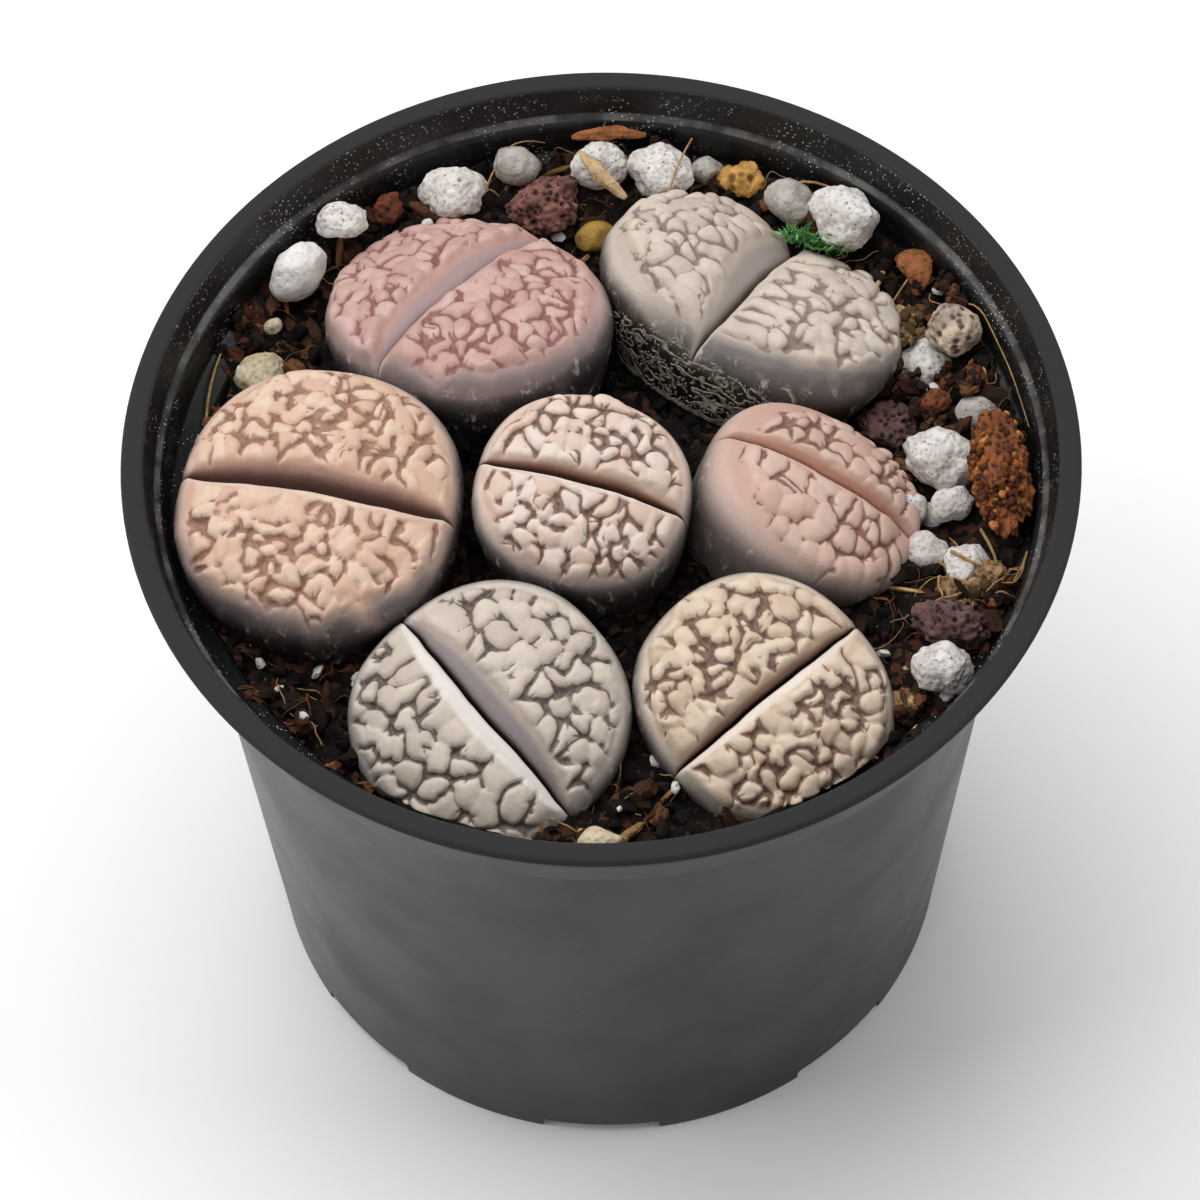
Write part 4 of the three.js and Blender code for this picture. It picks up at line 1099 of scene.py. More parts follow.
# %% Skin finish
def make_skin(name, colours):
    island, second, groove, cleft, lip, side, low = (rgb(c) for c in colours)
    f = Finish(name, roughness=0.52, specular=0.35)
    f.shader.inputs["Subsurface Weight"].default_value = 0.2
    f.shader.inputs["Subsurface Radius"].default_value = (1.0, 0.5, 0.3)
    f.shader.inputs["Subsurface Scale"].default_value = 0.7 * MM
    down = f.mark("down")
    patches = f.noise(3.2, detail=3)
    own = f.sum("MULTIPLY", f.mark("island"), 0.45)
    mottle = f.span(f.sum("ADD", own, patches), 0.5, 0.95, 0, 0.8)
    top = f.sum("MULTIPLY", f.span(f.mark("rise"), 0.1, 0.75), f.sum("SUBTRACT", 1.0, mottle))
    colour = f.mix(top, second, island)
    colour = f.mix(f.span(f.mark("margin"), 0, 1, 0, 0.6), colour, lip)
    colour = f.mix(f.span(f.noise(0.9, detail=5), 0.4, 0.7, 0, 0.3), colour, second)
    grime = f.span(f.noise(0.5, detail=4), 0.35, 0.75, 0.75, 1.0)
    depth = f.sum("MULTIPLY", f.span(f.mark("groove"), 0.1, 0.62), grime)
    colour = f.mix(depth, colour, groove)
    # Painted shade: the side darkens to the foot colour as it goes down towards the soil.
    flank = f.mix(f.span(down, 0.0, 0.34), side, low)
    cloudy = f.span(f.noise(2.4, detail=5, stretch=(1, 1, 0.6)), 0.5, 0.75, 0, 0.15)
    flank = f.mix(cloudy, flank, lip)
    streaks = f.noise(1.5, detail=8, rough=0.7, stretch=(1, 1, 0.45), distortion=0.6)
    scuffs = f.sum("MULTIPLY", f.span(streaks, 0.55, 0.66), f.span(down, 0.02, 0.16, 0, 0.6))
    flank = f.mix(scuffs, flank, rgb(0xD9D5D0))
    # The flank mark also greys the front of the margin, as painted shade.
    colour = f.mix(f.mark("flank"), colour, flank)
    inner = f.mix(f.mark("shade"), cleft, rgb(0x3B2C29))
    colour = f.mix(f.mark("cleft"), colour, inner)
    # Painted highlight: a pale strip along the lip of the front leaf.
    colour = f.mix(f.sum("MULTIPLY", f.mark("lip"), 0.85), colour, lip)
    pores = f.noise(0.16, detail=2)
    colour = f.mix(f.span(pores, 0.55, 0.8, 0, 0.12), colour, rgb(0x6B5A52))
    normal = f.bump(f.noise(0.35, detail=4), 0.05)
    normal = f.bump(f.noise(1.3, detail=3), 0.06, normal)
    rough = f.span(f.noise(1.7, detail=3), 0.3, 0.7, 0.45, 0.6)
    return f.close(colour, normal, rough)


# %% Make the seven plants
for name, head in HEADS.items():
    plant = put_in_scene(name, leaf_blank.data.copy())
    at = lay_out(plant, head)
    press(plant, head, at)
    mark_skin(plant, head, at)
    soften(plant)
    skin = make_skin("skin_" + name, head["colours"])
    finish_piece(plant, "living_stone_" + name, skin, ["lithops_" + name])
bpy.data.objects.remove(leaf_blank)

# %% [markdown]
# ## The stones
# Pumice, lava, grit and burnt clay lie where the measured solids put them, and a little
# finer grit fills the gaps between them. A ball is subdivided and pushed in and out by
# several sizes of noise; holes come from cells. One helper makes them all, and each kind
# differs in how rough and holed it is. A row gives a stone's middle, its half sizes, its turn
# in degrees, a seed and its kind; heights are counted from the rim.

# %% Places of the stones
STONES = {
    "pumice_speckled": ((-27.6, 33, -4.2), (2.9, 2.2, 2.1), 15, 3, "pumice"),
    "pumice_smooth": ((-32.4, 28, -6.4), (2.3, 3.6, 3.2), 139, 4, "smooth"),
    "pumice_small_left": ((-36.6, 17.2, -10), (2.7, 2.3, 2), 40, 5, "cream"),
    "lava_rust": ((-22.9, 36.9, -7.2), (1.9, 1.6, 1.7), 70, 6, "rust"),
    "pumice_round": ((-15.6, 38.9, -7), (3.6, 2.8, 2.8), 10, 7, "pumice"),
    "pumice_grey": ((-8.6, 42.2, -6.6), (2.7, 2.2, 2.2), 0, 8, "grit"),
    "lava_red": ((-5.6, 37.6, -8.6), (4.2, 3.3, 3.4), 20, 9, "lava"),
    "pellet_yellow": ((0.1, 34.2, -9.6), (2.3, 1.8, 1.6), 10, 10, "pellet"),
    "pumice_behind": ((0.8, 41.9, -6.6), (3, 2.4, 2.6), 0, 12, "pumice"),
    "pumice_stained": ((7.4, 40.5, -6.3), (3.6, 3, 3.2), -30, 13, "pumice"),
    "chip_golden": ((16.4, 39.8, -7), (2.4, 1.9, 1.9), -20, 14, "golden"),
    "gravel_grey": ((21.4, 36.6, -7), (3.1, 2.2, 2.5), -35, 15, "grit"),
    "pumice_large": ((27.2, 32.2, -4.4), (3.2, 3.8, 3.4), 50, 16, "pumice"),
    "stone_beige": ((38.2, 18, -6.2), (2.9, 2.6, 2.5), 10, 18, "beige"),
    "pumice_right": ((35.1, 16.3, -10.6), (2.8, 2.6, 2.5), 60, 19, "pumice"),
    "crumb_dark": ((40.1, 13.3, -8.2), (1.4, 1.3, 1.3), 0, 20, "rust"),
    "lava_purple": ((31, 9.6, -12.2), (3.4, 2.8, 2.7), -20, 21, "purple"),
    "pumice_grey_right": ((40.2, 8.8, -8.6), (2.2, 1.8, 1.7), -20, 22, "grit"),
    "pumice_broad": ((36.2, 3.4, -9.4), (4, 3.1, 3.1), -35, 24, "pumice"),
    "clay_lump": ((41.8, -0.8, -5.7), (3, 7.2, 3.4), 6, 25, "clay"),
    "pumice_upright": ((35.7, -1.6, -13.6), (2, 2.2, 2.3), 10, 26, "pumice"),
    "pumice_edge": ((38, -9.4, -10.8), (2.6, 2.5, 2.5), 50, 28, "pumice"),
    "lump_tan": ((40.4, -12.4, -8), (1.7, 1.6, 1.5), 0, 29, "fibrous"),
    "lava_long": ((35.8, -18.8, -7.1), (4.2, 2.5, 2.6), -25, 30, "purple"),
    "pumice_red_speck": ((34.4, -24.2, -7), (3, 2.6, 2.6), -30, 31, "pumice"),
    "lump_cream": ((31.8, -21.2, -13.4), (1.6, 1.6, 1.8), 0, 32, "cream"),
    "stone_front": ((-1.2, -41.4, -10.4), (2.2, 1.4, 1.3), 0, 34, "cream"),
}
GRIT = {
    "white_a": ((36.9, -2.6, -9.3), (2.5, 1.9, 1.9), 30, 41, "pumice"),
    "white_b": ((33.9, -7.6, -10.2), (2.2, 2.1, 1.9), -20, 42, "pumice"),
    "white_c": ((32.6, -1.8, -10.6), (1.9, 1.7, 1.8), 60, 43, "pumice"),
    "white_d": ((12.4, 41.6, -7.6), (1.9, 1.6, 1.5), 10, 44, "grit"),
    "white_e": ((-21.4, 34.6, -9.4), (1.3, 1.1, 1.0), 50, 45, "pumice"),
    "brown_a": ((29.4, -26.4, -10.6), (2.0, 1.6, 1.6), 20, 46, "fibrous"),
    "brown_b": ((31.4, 20.6, -9.2), (1.8, 1.5, 1.5), 75, 47, "fibrous"),
    "brown_c": ((35.9, 10.4, -8.4), (1.6, 1.2, 1.3), 5, 48, "rust"),
    "brown_d": ((37.0, -13.4, -9.6), (2.2, 1.5, 1.4), -30, 49, "fibrous"),
    "white_f": ((-35.2, 22.9, -9.4), (1.1, 0.9, 0.9), 35, 50, "cream"),
}
print("stones:", len(STONES), "and fine grit:", len(GRIT))

# %% [markdown]
# ## The soil
# The soil is peat with bark crumbs, higher at the back and the right where the gravel
# lies. A disc with fine lumps carries it, and loose crumbs and fibres are strewn on top. Its
# rim follows the inside of the wall, and the skirt under it turns in, so none of it comes
# through the pot where the wall steps in below the collar.

# %% Bed of soil
SOIL_DEPTH = 13.2
BED_GRID = 190
BED_RADIUS = 45
BED_GAP = 0.15
SKIRT_RADIUS = 42.5
SKIRT_DROP = 0.9
UNDER_RADIUS = 41.9
UNDER_DEPTH = 20


def soil_height(x, y):
    reach = np.hypot(x, y)
    heading = np.arctan2(y, x)
    back_right = smooth(np.cos(heading - math.radians(48)), -0.35, 0.35)
    left = smooth(np.cos(heading - math.radians(175)), 0.3, 0.9)
    bank = 3.4 * back_right + 1.6 * left * (1 - back_right)
    ripple = 0.5 * np.sin(0.9 * x + 1.3) * np.sin(0.8 * y + 0.4) + 0.3 * np.sin(1.7 * (x + y))
    return POT_HEIGHT - SOIL_DEPTH + bank * smooth(reach, 30, 42) + ripple


def lumpy(x, y):
    """The soil's height with its lumps; it lies low round each stone, so all of it is seen."""
    flat = np.column_stack([x, y])
    lumps = 0.7 * noise(flat, 3.1, 2) + 0.55 * noise(flat, 1.4, 3) + 0.35 * noise(flat, 0.7, 4)
    height = soil_height(x, y) + 1.1 + lumps
    for (at_x, at_y, depth), (long, wide, tall), *_ in [*STONES.values(), *GRIT.values()]:
        beside = np.maximum(0, np.hypot(x - at_x, y - at_y) - 0.8 * max(long, wide))
        height = np.minimum(height, POT_HEIGHT + depth - 0.45 * tall + 0.9 * beside)
    return height


bpy.ops.mesh.primitive_grid_add(x_subdivisions=BED_GRID, y_subdivisions=BED_GRID, size=2)
bed = bpy.context.object
edit(bed, "EDGE")
bpy.ops.mesh.select_non_manifold()
for _ in range(2):
    bpy.ops.mesh.extrude_region_move(TRANSFORM_OT_translate={"value": (0, 0, -1)})
bpy.ops.mesh.edge_face_add()
all_outward()
blank = places(bed)
x = blank[:, 0] * np.sqrt(1 - blank[:, 1] ** 2 / 2)
y = blank[:, 1] * np.sqrt(1 - blank[:, 0] ** 2 / 2)
height = lumpy(BED_RADIUS * x, BED_RADIUS * y)
wall = np.interp(height, INNER_HEIGHTS, INNER_RADII) - BED_GAP
turned_in, under = blank[:, 2] < -0.5, blank[:, 2] < -1.5
wall = np.where(turned_in, np.minimum(wall, SKIRT_RADIUS), wall)
wall = np.where(under, UNDER_RADIUS, wall)
height = np.where(under, POT_HEIGHT - UNDER_DEPTH, height - SKIRT_DROP * turned_in)
move_to(bed, np.column_stack([x * wall, y * wall, height]) * MM)


def make_soil():
    f = Finish("peat", roughness=0.9, specular=0.2)
    colour = f.mix(f.span(f.noise(2.5, detail=5), 0.35, 0.7), rgb(0x0C0908), rgb(0x1A120F))
    grains = f.cells(0.9, output="Color")
    colour = f.mix(f.span(grains, 0.62, 0.75, 0, 0.6), colour, rgb(0x5B3A26))
    colour = f.mix(f.span(f.noise(0.6, detail=4), 0.62, 0.72, 0, 0.5), colour, rgb(0x7A6350))
    normal = f.bump(f.noise(0.5, detail=6, rough=0.7), 0.4)
    return f.close(colour, normal)


peat = make_soil()
finish_piece(bed, "soil_bed", peat)
soil_solid = frame["nodes"]["potting_soil"]
soil_solid.data.materials.clear()
soil_solid.data.materials.append(peat)

# %% [markdown]
# The finishes of the stones come before the stones. White pumice is chalky with red-brown
# specks; lava is dark and full of holes; clay is a crust of grains. The holes of every stone
# are painted in its dark speck colour, as painted shade.

# %% Stone finishes
def make_stone(name, main, second, speck_and_hole_shade, size=0.7, specks=0.72, grain=0.3, deep=0.09):
    f = Finish(name, roughness=0.85, specular=0.25)
    colour = f.mix(f.span(f.noise(2.4, detail=5), 0.35, 0.7), rgb(main), rgb(second))
    dots = f.sum("MULTIPLY", f.span(f.cells(size), 0.12, 0.3, 1, 0),
                 f.span(f.cells(size, output="Color"), specks, specks + 0.06))
    # Painted shade: the holes are coloured with the dark speck colour.
    colour = f.mix(f.mark("pit"), colour, rgb(speck_and_hole_shade))
    colour = f.mix(f.sum("MULTIPLY", dots, 0.8), colour, rgb(speck_and_hole_shade))
    stain = f.span(f.noise(1.2, detail=7, rough=0.65), 0.63, 0.72, 0, 0.5)
    colour = f.mix(stain, colour, rgb(speck_and_hole_shade))
    normal = f.bump(f.noise(grain, detail=5, rough=0.65), deep)
    holes = f.span(f.cells(0.45), 0.1, 0.35)
    normal = f.bump(holes, 0.06, normal)
    return f.close(colour, normal)


STONE_FINISHES = {
    "pumice": (make_stone("white_pumice", 0xDAD7D4, 0xC2BCB6, 0x7A4E40, specks=0.62), "pumice"),
    "smooth": (make_stone("smooth_pumice", 0xE4E2E0, 0xD2CFCC, 0xA09890, specks=0.9), "pumice"),
    "cream": (make_stone("cream_grit", 0xD6CBAF, 0xB9A98A, 0x6B4E2F), "gravel"),
    "grit": (make_stone("grey_grit", 0xB5AFA8, 0x958C84, 0x5C4F48), "gravel"),
    "beige": (make_stone("beige_grit", 0xD0BFA8, 0x8F7F72, 0x4A3A34, size=0.9), "gravel"),
    "lava": (make_stone("red_lava", 0x8A5F55, 0x5B3D38, 0x2B1C1A, size=0.5, specks=0.4), "lava"),
    "purple": (make_stone("purple_lava", 0x6A4F4C, 0x47322F, 0x1F1615, size=0.5, specks=0.4),
               "lava"),
    "rust": (make_stone("rusty_crumb", 0x7E4526, 0x4F2C1B, 0x2A1710, size=0.5), "lava"),
    "golden": (make_stone("golden_chip", 0xC79A55, 0x94642F, 0x5B3A1C, size=0.8), "clay"),
    "clay": (make_stone("burnt_clay", 0x935831, 0x6E3E22, 0x2E1D17, size=0.6, specks=0.5,
                        grain=0.5, deep=0.35), "clay"),
    "pellet": (make_stone("yellow_pellet", 0xA3803C, 0x7D6030, 0x5A3F1C, specks=0.9), "pellet"),
    "fibrous": (make_stone("fibrous_lump", 0x9A7B55, 0x6B5238, 0x3A2A1D), "bark"),
}
print("stone finishes:", len(STONE_FINISHES))

# %% [markdown]
# How each kind is broken: the size of its lumps, of its fine roughness, and how deep and how
# wide its holes are. Flat facets come from cutting the ball with a few chance planes.

# %% Shape the stones
BREAKS = {
    "pumice": (0.13, 0.04, 0.12, 0.6),
    "smooth": (0.09, 0.02, 0.04, 0.7),
    "cream": (0.12, 0.04, 0.10, 0.8),
    "grit": (0.12, 0.03, 0.05, 0.7),
    "beige": (0.12, 0.07, 0.30, 1.1),
    "lava": (0.14, 0.10, 0.35, 0.8),
    "purple": (0.14, 0.10, 0.35, 0.8),
    "rust": (0.22, 0.14, 0.25, 0.7),
    "golden": (0.22, 0.10, 0.30, 1.6),
    "clay": (0.20, 0.12, 0.35, 0.7),
    "pellet": (0.04, 0.01, 0.0, 1.0),
    "fibrous": (0.22, 0.16, 0.25, 0.6),
}


def cell_gap(points, size, seed):
    """How far each point is from the nearest of many scattered dots, in units of size."""
    spots = np.floor(points / size)
    best = np.full(len(points), 9.0)
    for step in product((-1, 0, 1), repeat=3):
        cell = spots + step
        key = cell @ np.array([73.0, 157.0, 11.0])
        dot = np.column_stack([hashed(key, seed + k) for k in (0, 3, 8)])
        best = np.minimum(best, np.linalg.norm(points / size - cell - dot, axis=1))
    return best


STONE_CUTS = 9
STONE_SWELL = 1.04
LARGE_STONE = 2.4


def make_rock(name, at, half, turn, seed, kind, stands_for=()):
    broad, fine, holes, hole_size = BREAKS[kind]
    level = 6 if max(half) > LARGE_STONE else 5
    bpy.ops.mesh.primitive_ico_sphere_add(subdivisions=level, radius=1)
    rock = bpy.context.object
    ball = places(rock)
    ball = ball / np.linalg.norm(ball, axis=1)[:, None]
    draw = generator(seed * 13 + 5)
    size = np.ones(len(ball))
    for _ in range(STONE_CUTS):
        facing = unit(np.array([draw() - 0.5, draw() - 0.5, draw() - 0.5]))
        reach = 0.76 + 0.2 * draw()
        toward = np.maximum(ball @ facing, 1e-3)
        flat = reach / toward
        size = np.where(flat < size, 0.2 * size + 0.8 * flat, size)
    place = ball * np.array(half)
    size = size + broad * noise(place, 2.2, seed) + 0.5 * broad * noise(place, 1.1, seed + 1)
    size = size + fine * noise(place, 0.5, seed + 2)
    gap = cell_gap(place, hole_size, seed)
    pit = 1 - smooth(gap, 0.22, 0.5)
    size = size - holes * 0.5 * pit / np.mean(half) * hole_size
    angle = math.radians(turn)
    place = ball * np.array(half) * size[:, None] * STONE_SWELL
    turned_x = place[:, 0] * math.cos(angle) - place[:, 1] * math.sin(angle)
    turned_y = place[:, 0] * math.sin(angle) + place[:, 1] * math.cos(angle)
    centre = np.array([at[0], at[1], POT_HEIGHT + at[2]])
    move_to(rock, (np.column_stack([turned_x, turned_y, place[:, 2]]) + centre) * MM)
    # pit: how deep each hole is, for the painted shade in the holes.
    mark(rock, "pit", pit * min(1, 3 * holes))
    finish, slot = STONE_FINISHES[kind]
    finish_piece(rock, "stone_" + name, finish, stands_for)


for name, values in STONES.items():
    make_rock(name, *values, stands_for=[name])
for name, values in GRIT.items():
    make_rock(name, *values)

# %% [markdown]
# ## Sticks and bark
# A wood splinter, a root and a curl of bark stand up among the stones. Each is a thin strip
# whose rings follow the same points as its solid, with ragged fibres along it. A point is
# its place, its height from the rim, and half the strip's width and thickness.

# %% Sticks
STICKS = {
    "wood_splinter": [(-1.6, 41.4, -3.4, 0.5, 0.5), (0.6, 38.6, -4, 0.9, 0.6),
                      (3.4, 36.4, -5.6, 0.6, 0.6)],
    "bark_root": [(-2.4, 44.3, -4.6, 0.5, 0.5), (1.6, 44.2, -3.8, 0.8, 0.7),
                  (5.8, 43.6, -3.6, 0.5, 0.5)],
    "bark_curl": [(32.6, 29.2, -8, 0.7, 0.5), (33.9, 28, -6.2, 1.6, 0.5),
                  (34.9, 25.8, -6.4, 1.5, 0.5), (34.7, 24.2, -8.2, 0.8, 0.5)],
}


def smooth_path(path, steps):
    """Points on a smooth curve through the points of path, with its sizes."""
    rows = np.array(path, float)
    keys = np.arange(len(rows), dtype=float)
    at = np.linspace(0, len(rows) - 1, steps)
    return np.column_stack([curve_through(keys, column, at) for column in rows.T])


STICK_STEPS = 60
STICK_SIDES = 28


def make_stick(name, seed, finish):
    steps = STICK_STEPS
    line = smooth_path(STICKS[name], steps)
    bpy.ops.mesh.primitive_cylinder_add(vertices=STICK_SIDES, radius=1, depth=2,
                                        end_fill_type="NGON")
    stick = bpy.context.object
    edit_faces(stick, lambda face: face.normal.z > 0.9)
    for _ in range(steps - 2):
        bpy.ops.mesh.extrude_region_move(TRANSFORM_OT_translate={"value": (0, 0, 2)})
    done()
    blank = places(stick)
    ring = np.rint((blank[:, 2] + 1) / 2).astype(int)
    turn = np.arctan2(blank[:, 1], blank[:, 0])
    middle = line[:, :3] + np.array([0, 0, POT_HEIGHT])
    ahead = np.gradient(middle, axis=0)
    ahead = ahead / np.linalg.norm(ahead, axis=1)[:, None]
    across = np.cross([0, 0, 1], ahead)
    across = across / np.linalg.norm(across, axis=1)[:, None]
    top = np.cross(ahead, across)
    ragged = 1 + 0.3 * noise(np.column_stack([2 * np.cos(turn), 2 * np.sin(turn), ring * 0.08]),
                             0.9, seed)
    ragged = ragged * (1 + 0.12 * noise(np.column_stack([turn, ring * 0.4]), 0.8, seed + 3))
    slim = np.sin(np.pi * np.clip((ring + 1.2) / (steps + 1.4), 0, 1)) ** 0.35
    wide = line[ring, 3] * ragged * slim
    high = line[ring, 4] * ragged * slim
    points = (middle[ring] + across[ring] * (wide * np.cos(turn))[:, None]
              + top[ring] * (high * np.sin(turn))[:, None])
    move_to(stick, points * MM)
    finish_piece(stick, "litter_" + name, finish, [name])


def make_wood(name, main, second, dark):
    f = Finish(name, roughness=0.8, specular=0.25)
    colour = f.mix(f.span(f.noise(1.4, detail=6, rough=0.65), 0.35, 0.7), rgb(main), rgb(second))
    colour = f.mix(f.span(f.noise(0.5, detail=5), 0.55, 0.7, 0, 0.7), colour, rgb(dark))
    return f.close(colour, f.bump(f.noise(0.4, detail=6, rough=0.7), 0.15))


splinter_wood = make_wood("splinter_wood", 0xC4AA82, 0xA98D66, 0x6E5740)
bark_wood = make_wood("bark_wood", 0x9C6238, 0x6E4124, 0x33201A)
make_stick("wood_splinter", 5, splinter_wood)
make_stick("bark_root", 6, bark_wood)
make_stick("bark_curl", 7, bark_wood)

# %% [markdown]
# ## Crumbs and chips
# Hundreds of crumbs of peat and bark cover the soil. One rough crumb and one flat chip are
# modelled; each is copied with its own size, turn and tone, and all copies of one kind become
# one piece. They keep off the plants: a place is free if it lies outside every head.

# %% Where the soil is free
def free_of_heads(x, y, margin=1.0):
    z = soil_height(x, y)
    free = np.ones(len(x), bool)
    for head in HEADS.values():
        u, v, w, origin = head_axes(head)
        off = np.column_stack([x, y, z]) - origin
        off = off - upright_shift(head, off @ w)
        along, across = off @ u, off @ v
        share = (np.abs(along / head["length"]) ** SQUARENESS
                 + np.abs(across / width_of(head, across)) ** SQUARENESS) ** (1 / SQUARENESS)
        free &= share > (side_share(off @ w) + fullness(head, off @ w)) * margin
    return free


def scattered(count, seed, inner=8, outer=44.5, margin=0.97):
    """Free places on the soil, spread evenly over its area."""
    draw = np.random.default_rng(seed)
    radius = np.sqrt(draw.uniform(inner**2, outer**2, count * 8))
    turn = draw.uniform(0, 2 * math.pi, count * 8)
    x, y = radius * np.cos(turn), radius * np.sin(turn)
    free = free_of_heads(x, y, margin)
    return x[free][:count], y[free][:count], draw


print("free crumbs of 100:", len(scattered(100, 1)[0]))


# %% Model one crumb and copy it
CRUMB_ANGLE = 50
CRUMB_GAP = 0.15
CLAY_GRAINS = 520


def rough_ball(subdivisions, seed, amount):
    bpy.ops.mesh.primitive_ico_sphere_add(subdivisions=subdivisions, radius=1)
    ball = bpy.context.object
    points = places(ball)
    size = 1 + amount * (2 * hashed(np.arange(len(points)), seed) - 1)
    move_to(ball, points * size[:, None])
    return ball


def copies(model, at, sizes, turns, tones, name):
    """One mesh of many copies of a model, each with its own size, turn and tone."""
    points = places(model)
    faces = np.array([list(face.vertices) for face in model.data.polygons])
    placed = []
    for where, size, (a, b, c) in zip(at, sizes, turns):
        spin = np.array([[math.cos(a), -math.sin(a), 0], [math.sin(a), math.cos(a), 0], [0, 0, 1]])
        nod = np.array([[1, 0, 0], [0, math.cos(b), -math.sin(b)], [0, math.sin(b), math.cos(b)]])
        roll = np.array([[math.cos(c), 0, math.sin(c)], [0, 1, 0], [-math.sin(c), 0, math.cos(c)]])
        placed.append((points * size) @ roll.T @ nod.T @ spin.T + where)
    stride = len(points)
    all_faces = np.concatenate([faces + stride * i for i in range(len(placed))])
    mesh = bpy.data.meshes.new(name)
    placed = inside_wall(np.concatenate(placed), CRUMB_GAP)
    mesh.from_pydata((placed * MM).tolist(), [], all_faces.tolist())
    piece = put_in_scene(name, mesh)
    mark(piece, "tone", np.repeat(tones, stride))
    bpy.data.objects.remove(model)
    return piece


def make_crumb_finish(name, dark, middle, light):
    f = Finish(name, roughness=0.9, specular=0.2)
    tone = f.mark("tone")
    colour = f.mix(f.span(tone, 0.3, 0.7), rgb(dark), rgb(middle))
    colour = f.mix(f.span(tone, 0.8, 0.95), colour, rgb(light))
    colour = f.mix(f.span(f.noise(0.5, detail=4), 0.45, 0.65, 0, 0.6), colour, rgb(dark))
    return f.close(colour, f.bump(f.noise(0.3, detail=4), 0.1))


def strew(name, model, count, seed, sizes, flatness, finish, slot, rise=0.3, **area):
    x, y, draw = scattered(count, seed, **area)
    n = len(x)
    size = draw.uniform(*sizes, n)[:, None] * draw.uniform(0.6, 1.3, (n, 3)) * np.array(flatness)
    z = lumpy(x, y) + rise * size[:, 2]
    turns = np.column_stack([draw.uniform(0, 6.3, n), draw.normal(0, 0.5, n),
                             draw.normal(0, 0.5, n)])
    piece = copies(model, np.column_stack([x, y, z]), size, turns, draw.uniform(0, 1, n), name)
    finish_piece(piece, name, finish, angle=CRUMB_ANGLE)


# %% [markdown]
# The burnt clay gets a crust of grains. Then peat, bark, pumice and straw are strewn. A row
# gives the crumb to copy, how many, a seed, the range of sizes, the flatness, the finish, the
# slot, and how high and how far out the copies lie.

# %% Strew the crumbs and chips
crumb_finish = make_crumb_finish("peat_crumb", 0x0B0807, 0x1B130F, 0x3A2A21)
chip_finish = make_crumb_finish("bark_chip", 0x1E130E, 0x3E2619, 0x744C30)
straw_finish = make_crumb_finish("straw", 0x6B4F30, 0x9A774B, 0xC2A173)
at, size = STONES["clay_lump"][0], np.array(STONES["clay_lump"][1])
draw = np.random.default_rng(91)
facing = draw.normal(0, 1, (CLAY_GRAINS, 3))
facing = facing / np.linalg.norm(facing, axis=1)[:, None]
grains = facing * size * draw.uniform(0.8, 1.02, (CLAY_GRAINS, 1))
grains = grains + (at[0], at[1], POT_HEIGHT + at[2])
grain_sizes = draw.uniform(0.2, 0.5, (CLAY_GRAINS, 1)) * draw.uniform(0.8, 1.2, (CLAY_GRAINS, 3))
turns = draw.uniform(-3, 3, (CLAY_GRAINS, 3))
clay_grains = copies(rough_ball(2, 2, 0.15), grains, grain_sizes, turns,
                     draw.uniform(0, 1, CLAY_GRAINS), "clay_grains")
clay_crumb = make_crumb_finish("clay_crumb", 0x4A2816, 0x8E5529, 0xB87A45)
finish_piece(clay_grains, "clay_grains", clay_crumb)
LITTER = {
    "peat_crumbs": ((1, 3, 0.28), 1100, 11, (0.5, 1.3), (1, 1, 0.8), crumb_finish, "soil", {}),
    "bark_crumbs": ((2, 4, 0.35), 170, 12, (0.4, 1.2), (1, 1, 0.9), chip_finish, "bark",
                    {"rise": 0.9, "inner": 26}),
    "bark_chips": ((2, 5, 0.3), 110, 13, (0.7, 1.7), (1.5, 0.6, 0.25), chip_finish, "bark",
                   {"rise": 2.2, "inner": 22}),
    "pumice_crumbs": ((2, 8, 0.2), 46, 15, (0.35, 0.9), (1, 1, 0.8), STONE_FINISHES["pumice"][0],
                      "pumice", {"rise": 2.4, "inner": 31}),
    "straw_chips": ((2, 6, 0.2), 60, 14, (0.8, 1.8), (1.7, 0.25, 0.2), straw_finish, "bark",
                    {"rise": 3.0, "inner": 26}),
}
for name, (crumb, *rest, area) in LITTER.items():
    strew(name, rough_ball(*crumb), *rest, **area)

# %% [markdown]
# The gravel also hides clusters of rust-brown bark between the white stones, a husk beside
# the grey head, and bits of brown leaf. They are the same crumbs, heaped at named places:
# each heap has a place, a height from the rim and a radius.

# %% Heaps of bark
HEAPS = {
    "rusty_bark": [(31.0, 15.5, -9.0, 1.9), (32.0, 13.4, -9.6, 2.1), (33.4, 12.2, -9.0, 1.9),
                   (34.9, 10.6, -9.2, 2.0), (36.0, 8.6, -9.6, 1.5), (39.6, 11.6, -7.4, 1.3),
                   (39.0, 21.8, -6.6, 1.4), (38.0, 24.4, -6.0, 1.5), (7.6, 43.6, -6.0, 1.2)],
    "dark_bark": [(-36.0, -24.0, -10.6, 2.0), (-32.4, -27.6, -10.8, 1.9), (-38.9, 25.0, -8.6, 1.9),
                  (-36.8, 30.2, -8.2, 1.8), (-40.4, 19.2, -9.4, 1.6), (-38.0, 21.3, -9.0, 1.8),
                  (-29.0, -33.0, -11.0, 1.8), (40.8, -14.6, -8.4, 1.8), (30.7, -28.2, -10.2, 1.9),
                  (33.0, -26.8, -9.6, 1.5), (37.2, 14.0, -9.4, 1.4), (-41.5, 12.0, -10.4, 1.6)],
    "fibrous_bark": [(39.2, -13.9, -8.6, 1.8), (37.0, -14.8, -9.2, 1.5), (30.9, -26.8, -9.8, 1.6),
                     (33.0, 19.4, -8.4, 1.7), (33.8, 21.2, -8.2, 1.3)],
}
HEAP_CRUMBS = 26
